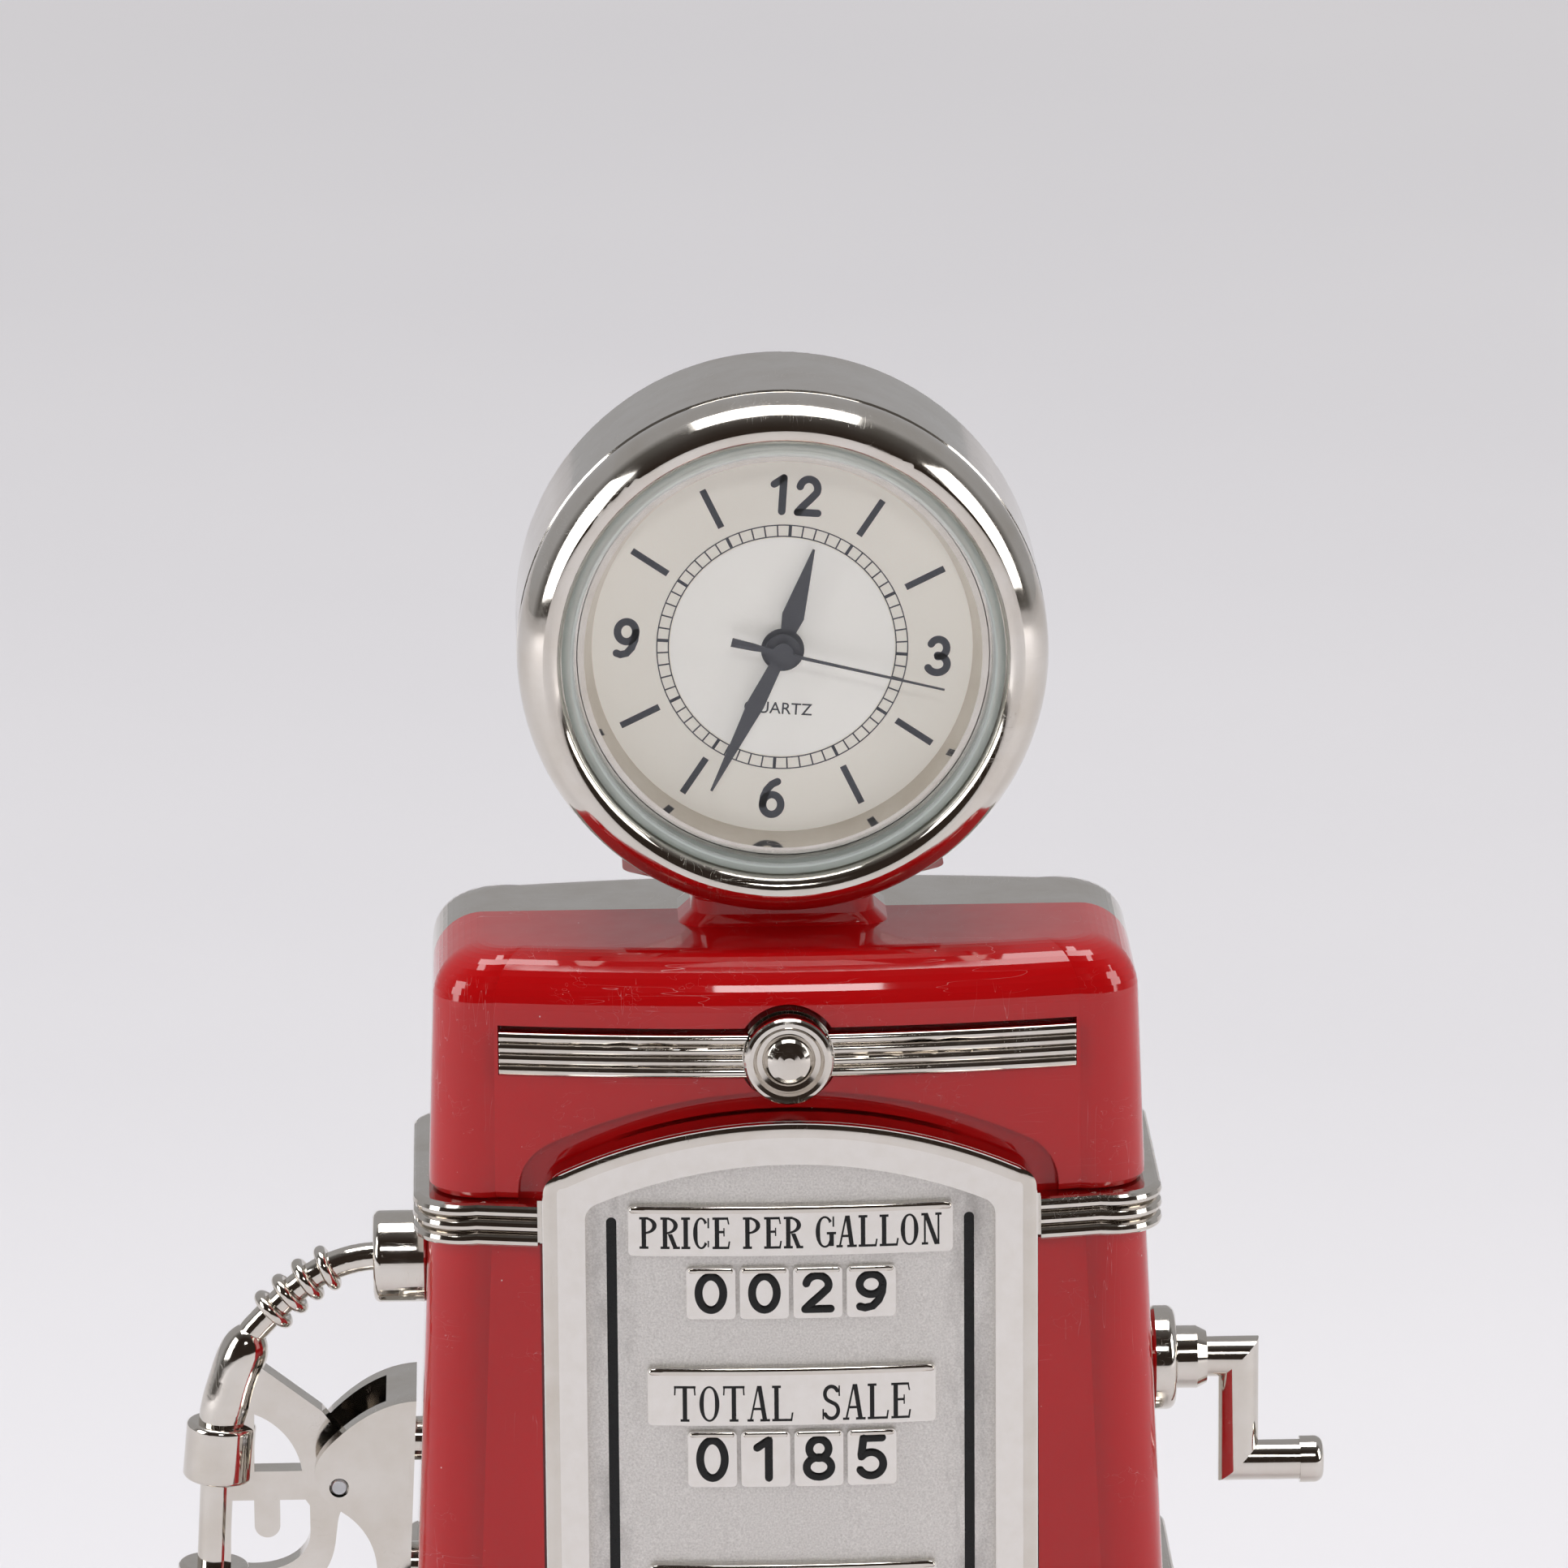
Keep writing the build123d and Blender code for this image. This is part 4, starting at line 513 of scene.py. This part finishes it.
# ------------------------------------------------------------------ engraved label letters
def ring_arc(fl, cx, cy, rx, ry, thick, thin, a0, a1, h0, h1, n=28):
    closed = abs(a1 - a0) >= 359.9
    m = n if closed else n + 1
    outer, inner = [], []
    for i in range(m):
        a = math.radians(a0 + (a1 - a0) * i / n)
        c, s = math.cos(a), math.sin(a)
        w = thin + (thick - thin) * c * c
        outer.append((cx + rx * c, cy + ry * s))
        inner.append((cx + (rx - w) * c, cy + (ry - w * 0.8) * s))
    fl.band(outer, inner, h0, h1, closed)


def letter(fl, ch, x0, w, z0, hgt, h0=-0.02, h1=0.012):
    """Narrow roman capitals with flat serifs, drawn from bars and rings."""
    tk, th, sf = 0.24, 0.13, 0.12        # stem, hairline and serif reach in mm
    H = hgt

    def bar(x, y, X, Y):
        fl.slab([(x0 + x, z0 + y), (x0 + X, z0 + y), (x0 + X, z0 + Y), (x0 + x, z0 + Y)], h0, h1)

    def stem(x, top=True, foot=True, t=tk):
        bar(x, 0, x + t, H)
        if foot:
            bar(x - sf, 0, x + t + sf, th)
        if top:
            bar(x - sf, H - th, x + t + sf, H)

    def slant(xa, ya, xb, yb, t):
        fl.slab([(x0 + xa, z0 + ya), (x0 + xa + t, z0 + ya), (x0 + xb + t, z0 + yb), (x0 + xb, z0 + yb)], h0, h1)

    if ch in "PR":
        stem(sf)
        ym = H * 0.47
        ring_arc(fl, x0 + sf + tk * 0.6, z0 + (H + ym) / 2, w - sf - tk * 0.7, (H - ym) / 2, tk, th, -90, 90, h0, h1, 16)
        if ch == "R":
            slant(w - tk - 0.02, 0.0, sf + tk * 1.1, ym, tk)
            bar(w - tk - 0.05, 0, w + 0.08, th)
    elif ch == "I":
        stem((w - tk) / 2)
    elif ch in "EL":
        stem(sf)
        bar(sf, 0, w, th)
        slant(w - 0.09, 0, w - 0.02, H * 0.24, 0.09)
        if ch == "E":
            bar(sf, H - th, w - 0.05, H)
            slant(w - 0.05, H * 0.78, w - 0.12, H, 0.08)
            bar(sf, H * 0.5, w * 0.74, H * 0.5 + th)
            bar(w * 0.74 - 0.07, H * 0.40, w * 0.74, H * 0.66)
    elif ch in "CG":
        ring_arc(fl, x0 + w / 2, z0 + H / 2, w / 2, H / 2, tk, th, 42, 318, h0, h1)
        bar(w - 0.09, H * 0.66, w, H * 0.98)
        if ch == "G":
            bar(w - tk - 0.02, H * 0.05, w - 0.02, H * 0.46)
            bar(w - tk - 0.16, H * 0.42, w + 0.10, H * 0.42 + th)
        else:
            bar(w - 0.09, H * 0.06, w - 0.01, H * 0.26)
    elif ch == "O":
        ring_arc(fl, x0 + w / 2, z0 + H / 2, w / 2, H / 2, tk, th, 0, 360, h0, h1, 36)
    elif ch == "A":
        slant(0.06, 0, w * 0.44, H, 0.10)
        slant(w - tk - 0.06, 0, w * 0.44, H, tk)
        bar(w * 0.22, H * 0.32, w * 0.78, H * 0.32 + th)
        bar(-0.06, 0, 0.28, th)
        bar(w - tk - 0.20, 0, w + 0.08, th)
    elif ch == "N":
        bar(sf, 0, sf + 0.10, H)
        bar(0, 0, sf * 2 + 0.10, th)
        bar(-0.02, H - th, sf + 0.1, H)
        bar(w - sf - 0.10, 0, w - sf, H)
        bar(w - 2 * sf - 0.10, H - th, w, H)
        slant(w - sf - tk - 0.02, 0, sf - 0.03, H, tk)
    elif ch == "T":
        stem((w - tk) / 2, top=False)
        bar(0, H - th, w, H)
        slant(0.0, H * 0.74, 0.03, H, 0.08)
        slant(w - 0.08, H * 0.74, w - 0.11, H, 0.08)
    elif ch == "S":
        path = ellipse(w / 2, H * 0.74, w * 0.36, H * 0.21, 25, 250, 14) + ellipse(w / 2, H * 0.27, w * 0.38, H * 0.22, 75, -155, 14)
        fl.stroke([(x0 + a, z0 + b) for a, b in path], tk * 0.85, h0, h1)
        bar(w - 0.10, H * 0.68, w - 0.02, H * 0.97)
        bar(0.0, H * 0.03, 0.08, H * 0.32)


def label(name, items, z0, hgt):
    fl = Flat()
    for ch, a, b in items:
        letter(fl, ch, a, b - a, z0, hgt)
    v, f = fl.place(on_plate(11.75))
    return new_obj(name, v, f, ENAMEL, "pump_case")


def spaced(text, centre, total, widths, gap):
    """Spread words over a total width, each letter with its own relative width."""
    unit = sum(widths.get(c, 1.0) if c != " " else gap for c in text) + 0.18 * (len(text) - 1)
    k, x, out = total / unit, centre - total / 2, []
    for c in text:
        w = (gap if c == " " else widths.get(c, 1.0)) * k
        if c != " ":
            out.append((c, x, x + w))
        x += w + 0.18 * k
    return out


WIDE = {"I": 0.46, "N": 1.12, "T": 1.08, "G": 1.04, "S": 0.9, "E": 0.92, "C": 0.9}
label("label_letters_1", spaced("PRICE PER GALLON", 0.0, 16.1, WIDE, 0.42), 46.10, 1.76)
label("label_letters_2", spaced("TOTAL SALE", 0.0, 12.6, WIDE, 1.15), 36.42, 2.0)
label("label_letters_3", spaced("GALLONS", 0.0, 9.6, WIDE, 1.0), 25.5, 1.95)

# polished beads along the top edges of the labels and the counter windows
fl = Flat()
for w, z0, z1 in ((17.3, 45.70, 48.45), (15.4, 36.2, 39.4), (15.4, 25.3, 28.3)):
    n = 24
    x = w / 2 - 0.24
    fl.stroke([(-x + 2 * x * i / n, z1 - 0.20) for i in range(n + 1)], 0.36, 0.06, 0.12, False, 0.10)
v, f = fl.place(on_plate(11.75 - 0.08))
new_obj("label_beads", v, f, NICKEL, "pump_case", smooth=60)
fl = Flat()
for z0, z1, text in CELLS:
    for i in range(4):
        cx = (i - 1.5) * 2.85
        fl.stroke([(cx - 1.06 + 2.12 * j / 6, z1 - 0.17) for j in range(7)], 0.26, 0.06, 0.11, False, 0.07)
v, f = fl.place(on_plate(11.65 - 0.08))
new_obj("window_beads", v, f, NICKEL, "pump_case", smooth=60)

# rounded polished lip along the faceplate's outer edge
edge = 13.2 - 0.42
arc_z, arc_r = 53.05 - 27.2, 27.2 - 0.42
shoulder = math.degrees(math.acos((edge - 0.75) / arc_r))
side_top = arc_z + arc_r * math.sin(math.radians(shoulder)) - 0.75
lip = [(-edge, 18.6 + (side_top - 18.6) * i / 24) for i in range(25)]
lip += ellipse(-edge + 0.75, side_top, 0.75, 0.75, 172, 180 - shoulder + 4, 5)
lip += ellipse(0.0, arc_z, arc_r, arc_r, 180 - shoulder, shoulder, 60)
lip += ellipse(edge - 0.75, side_top, 0.75, 0.75, shoulder - 4, 8, 5)
lip += [(edge, side_top + (18.6 - side_top) * i / 24) for i in range(25)]
fl = Flat()
left, right = [], []
for i, q in enumerate(lip):
    a, b = lip[max(i - 1, 0)], lip[min(i + 1, len(lip) - 1)]
    d = math.hypot(b[0] - a[0], b[1] - a[1])
    nx, ny = -(b[1] - a[1]) / d, (b[0] - a[0]) / d
    left.append((q[0] + nx * 0.36, q[1] + ny * 0.36))
    right.append((q[0] - nx * 0.36, q[1] - ny * 0.36))
fl.band(left, right, -0.05, 0.02, False, 0.13)
v, f = fl.place(on_plate(11.8))
new_obj("faceplate_lip", v, f, NICKEL, "pump_case", smooth=60)

# ------------------------------------------------------------------ dial print
fl = Flat()
H0, H1 = 4.296, 4.312
for r in (6.05, 6.66):
    fl.band(ellipse(0, 0, r + 0.03, r + 0.03, n=144), ellipse(0, 0, r - 0.03, r - 0.03, n=144), H0, H1, True)
for i in range(60):
    a = math.radians(6 * i)
    w = 0.17 if i % 5 == 0 else 0.075
    ux, uy = math.sin(a), math.cos(a)
    px, py = uy * w / 2, -ux * w / 2
    fl.slab([(ux * 6.05 + px, uy * 6.05 + py), (ux * 6.66 + px, uy * 6.66 + py), (ux * 6.66 - px, uy * 6.66 - py), (ux * 6.05 - px, uy * 6.05 - py)], H0, H1 + 0.001)
for i in (1, 2, 4, 5, 7, 8, 10, 11):
    a = math.radians(30 * i)
    ux, uy = math.sin(a), math.cos(a)
    px, py = uy * 0.175, -ux * 0.175
    fl.slab([(ux * 7.3 + px, uy * 7.3 + py), (ux * 9.57 + px, uy * 9.57 + py), (ux * 9.57 - px, uy * 9.57 - py), (ux * 7.3 - px, uy * 7.3 - py)], H0, H1)
v, f = fl.place(on_dial())
new_obj("dial_print", v, f, INK, "clock_insert")


def text_piece(name, text, size, where, fn, mat, body, bold=0.0, extrude=0.008):
    cu = bpy.data.curves.new(name + "_curve", "FONT")
    cu.body, cu.size, cu.align_x, cu.align_y = text, size, "CENTER", "CENTER"
    cu.offset, cu.extrude, cu.resolution_u = bold, extrude, 6
    tmp = bpy.data.objects.new(name + "_tmp", cu)
    bpy.context.scene.collection.objects.link(tmp)
    bpy.context.view_layer.update()
    me = bpy.data.meshes.new_from_object(tmp.evaluated_get(bpy.context.evaluated_depsgraph_get()))
    xs = [v.co.x for v in me.vertices]
    ys = [v.co.y for v in me.vertices]
    mx, my = (min(xs) + max(xs)) / 2, (min(ys) + max(ys)) / 2
    verts = [fn(v.co.x - mx + where[0], v.co.y - my + where[1], v.co.z + where[2]) for v in me.vertices]
    faces = [tuple(p.vertices) for p in me.polygons]
    bpy.data.objects.remove(tmp)
    bpy.data.curves.remove(cu)
    bpy.data.meshes.remove(me)
    return new_obj(name, verts, faces, mat, body)


for text, u, v in (("12", 0.0, 8.3), ("3", 8.3, 0.0), ("6", 0.0, -8.3), ("9", -8.3, 0.0)):
    fl = Flat()
    for i, ch in enumerate(text):
        cx = u + (i - (len(text) - 1) / 2) * 1.42 + (0.14 if ch == "2" else 0.06 if ch == "1" else 0.0)
        for path, closed in DIGITS[ch]:
            fl.stroke([(cx + (a - 0.34) * 1.62, v + (b - 0.5) * 1.82) for a, b in path], 0.40, H0, H1, closed)
    verts, faces = fl.place(on_dial())
    new_obj("dial_numeral_" + text, verts, faces, INK, "clock_insert")
text_piece("dial_word", "QUARTZ", 0.9, (0.0, -3.4, 4.304), on_dial(), INK, "clock_insert", bold=0.004)


# ------------------------------------------------------------------ hose
def spline(points, n):
    """Centripetal curve through the points, as mm tuples."""
    P = [Vector(p) for p in points]
    P = [P[0] * 2 - P[1]] + P + [P[-1] * 2 - P[-2]]
    out = []
    for i in range(1, len(P) - 2):
        p0, p1, p2, p3 = P[i - 1], P[i], P[i + 1], P[i + 2]
        t0 = 0.0
        t1 = t0 + (p1 - p0).length ** 0.5
        t2 = t1 + (p2 - p1).length ** 0.5
        t3 = t2 + (p3 - p2).length ** 0.5
        for s in range(n):
            t = t1 + (t2 - t1) * s / n
            a1 = p0 * ((t1 - t) / (t1 - t0)) + p1 * ((t - t0) / (t1 - t0))
            a2 = p1 * ((t2 - t) / (t2 - t1)) + p2 * ((t - t1) / (t2 - t1))
            a3 = p2 * ((t3 - t) / (t3 - t2)) + p3 * ((t - t2) / (t3 - t2))
            b1 = a1 * ((t2 - t) / (t2 - t0)) + a2 * ((t - t0) / (t2 - t0))
            b2 = a2 * ((t3 - t) / (t3 - t1)) + a3 * ((t - t1) / (t3 - t1))
            out.append(b1 * ((t2 - t) / (t2 - t1)) + b2 * ((t - t1) / (t2 - t1)))
    out.append(P[-2])
    return out


HOSE = [(-19.2, 4.6, 20.4), (-20.4, 4.6, 20.4), (-21.8, 4.6, 20.25), (-23.9, 4.45, 19.0), (-25.0, 4.1, 16.2),
        (-25.3, 3.6, 13.4), (-26.3, 2.8, 11.0), (-28.5, 1.7, 9.95), (-30.6, 0.8, 11.3), (-31.4, 0.2, 14.2),
        (-31.5, 0.0, 17.6), (-31.5, 0.0, 20.5), (-31.5, 0.0, 23.3)]


def tube(name, path, radius, mat, body, sides=40):
    verts, faces = [], []
    up = Vector((0, 1, 0))
    for i, p in enumerate(path):
        a, b = path[max(i - 1, 0)], path[min(i + 1, len(path) - 1)]
        d = (b - a).normalized()
        side = up.cross(d).normalized()
        up = d.cross(side).normalized()
        for s in range(sides):
            t = 2 * math.pi * s / sides
            # two faint mould lines run along the hose
            r = radius - 0.02 + 0.035 * (max(0.0, math.cos(t)) ** 60 + max(0.0, -math.cos(t)) ** 60)
            q = p + side * (math.cos(t) * r) + up * (math.sin(t) * r)
            verts.append(tuple(q))
    for i in range(len(path) - 1):
        for s in range(sides):
            a, b = i * sides + s, i * sides + (s + 1) % sides
            faces.append((a, b, b + sides, a + sides))
    faces.append(tuple(range(sides - 1, -1, -1)))
    faces.append(tuple(range((len(path) - 1) * sides, len(path) * sides)))
    return new_obj(name, verts, faces, mat, body, smooth=40)


hose = tube("hose_rubber", spline(HOSE, 14), 1.4, RUBBER, None)
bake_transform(hose)
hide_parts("hose")

# ------------------------------------------------------------------ floor, light and camera
def stage_mesh(name, verts, faces, mat):
    me = bpy.data.meshes.new(name)
    me.from_pydata([(x * MM, y * MM, z * MM) for x, y, z in verts], [], faces)
    ob = bpy.data.objects.new(name, me)
    bpy.context.scene.collection.objects.link(ob)
    me.materials.append(mat)
    for p in me.polygons:
        p.use_smooth = True
    return ob


k = Mat("backdrop_paper")
k.set("Base Color", k.mix(k.noise(0.01, 3.0), srgb(222, 220, 224), srgb(230, 228, 231))).set("Roughness", 0.85)
away = k.math("SQRT", k.math("ADD", k.math("MULTIPLY", k.x, k.x), k.math("MULTIPLY", k.y, k.y)))
k.set("Emission Color", srgb(234, 231, 232)).set("Emission Strength", k.ramp(away, 180.0, 760.0, 0.0, 0.42))
prof = [(-1500, 0.0), (-400, 0.0), (400, 0.0), (1900, 0.0)]
vs, fs = [], []
for y, z in prof:
    vs += [(-1500, y, z), (1500, y, z)]
for i in range(len(prof) - 1):
    fs.append((2 * i, 2 * i + 1, 2 * i + 3, 2 * i + 2))
stage_mesh("backdrop", vs, fs, k.m)

AIM = Vector((0, 0, 60.0))
AZ, EL, ROLL, DIST, FPX, CX, CY = 0.02823521849, 0.27809947244, -0.00764475772, 561.514, 12832.465, 963.811, 1154.019
fw = Vector((math.sin(AZ) * math.cos(EL), math.cos(AZ) * math.cos(EL), -math.sin(EL)))
rt = Vector((math.cos(AZ), -math.sin(AZ), 0.0))
up = rt.cross(fw)
r2 = rt * math.cos(ROLL) + up * math.sin(ROLL)
u2 = up * math.cos(ROLL) - rt * math.sin(ROLL)
cam = bpy.data.cameras.new("camera")
cam.sensor_width, cam.sensor_fit = 36.0, "HORIZONTAL"
cam.lens = FPX / 1932 * 36.0
cam.shift_x, cam.shift_y = (966 - CX) / 1932, (CY - 966) / 1932
cam.clip_start, cam.clip_end = 0.01, 20.0
cam_ob = bpy.data.objects.new("camera", cam)
bpy.context.scene.collection.objects.link(cam_ob)
rot = Matrix((r2, u2, -fw)).transposed().to_4x4()
cam_ob.matrix_world = Matrix.Translation((AIM - fw * DIST) * MM) @ rot
bpy.context.scene.camera = cam_ob


def softbox(name, loc, target, w, h, power, color=(1, 1, 1)):
    li = bpy.data.lights.new(name, "AREA")
    li.shape, li.size, li.size_y, li.energy, li.color = "RECTANGLE", w * MM, h * MM, power, color
    ob = bpy.data.objects.new(name, li)
    bpy.context.scene.collection.objects.link(ob)
    d = (Vector(target) - Vector(loc)).normalized()
    ob.matrix_world = Matrix.Translation(Vector(loc) * MM) @ d.to_track_quat("-Z", "Y").to_matrix().to_4x4()
    return ob


softbox("top_light", (0, 40, 620), (0, 0, 50), 460, 260, 2.3)
softbox("left_light", (-540, -200, 300), (0, 0, 50), 260, 420, 1.9, (0.98, 0.99, 1.0))
softbox("right_light", (540, -190, 300), (0, 0, 50), 260, 420, 1.75, (1.0, 0.99, 0.98))
softbox("front_fill", (40, -800, 620), (0, 0, 40), 200, 120, 0.9)

# the room is grey behind and above the object and dim and warm on the camera's side
world = bpy.data.worlds.new("soft_room")
world.use_nodes = True
bpy.context.scene.world = world
wt = world.node_tree
wt.nodes.clear()
wo = wt.nodes.new("ShaderNodeOutputWorld")
bg = wt.nodes.new("ShaderNodeBackground")
tc = wt.nodes.new("ShaderNodeTexCoord")
sp = wt.nodes.new("ShaderNodeSeparateXYZ")
rp = wt.nodes.new("ShaderNodeValToRGB")
mr = wt.nodes.new("ShaderNodeMapRange")
wt.links.new(tc.outputs["Generated"], sp.inputs[0])
mr.inputs["From Min"].default_value = -1.0
mr.inputs["From Max"].default_value = 1.0
wt.links.new(sp.outputs["Y"], mr.inputs["Value"])
wt.links.new(mr.outputs[0], rp.inputs[0])
ramp = rp.color_ramp
ramp.elements[0].position, ramp.elements[0].color = 0.22, (0.035, 0.026, 0.021, 1)
ramp.elements[1].position, ramp.elements[1].color = 0.62, (0.42, 0.42, 0.43, 1)
mid = ramp.elements.new(0.48)
mid.color = (0.13, 0.125, 0.12, 1)
wt.links.new(rp.outputs[0], bg.inputs[0])
bg.inputs[1].default_value = 1.0
wt.links.new(bg.outputs[0], wo.inputs[0])
bpy.context.scene.view_settings.view_transform = "Standard"
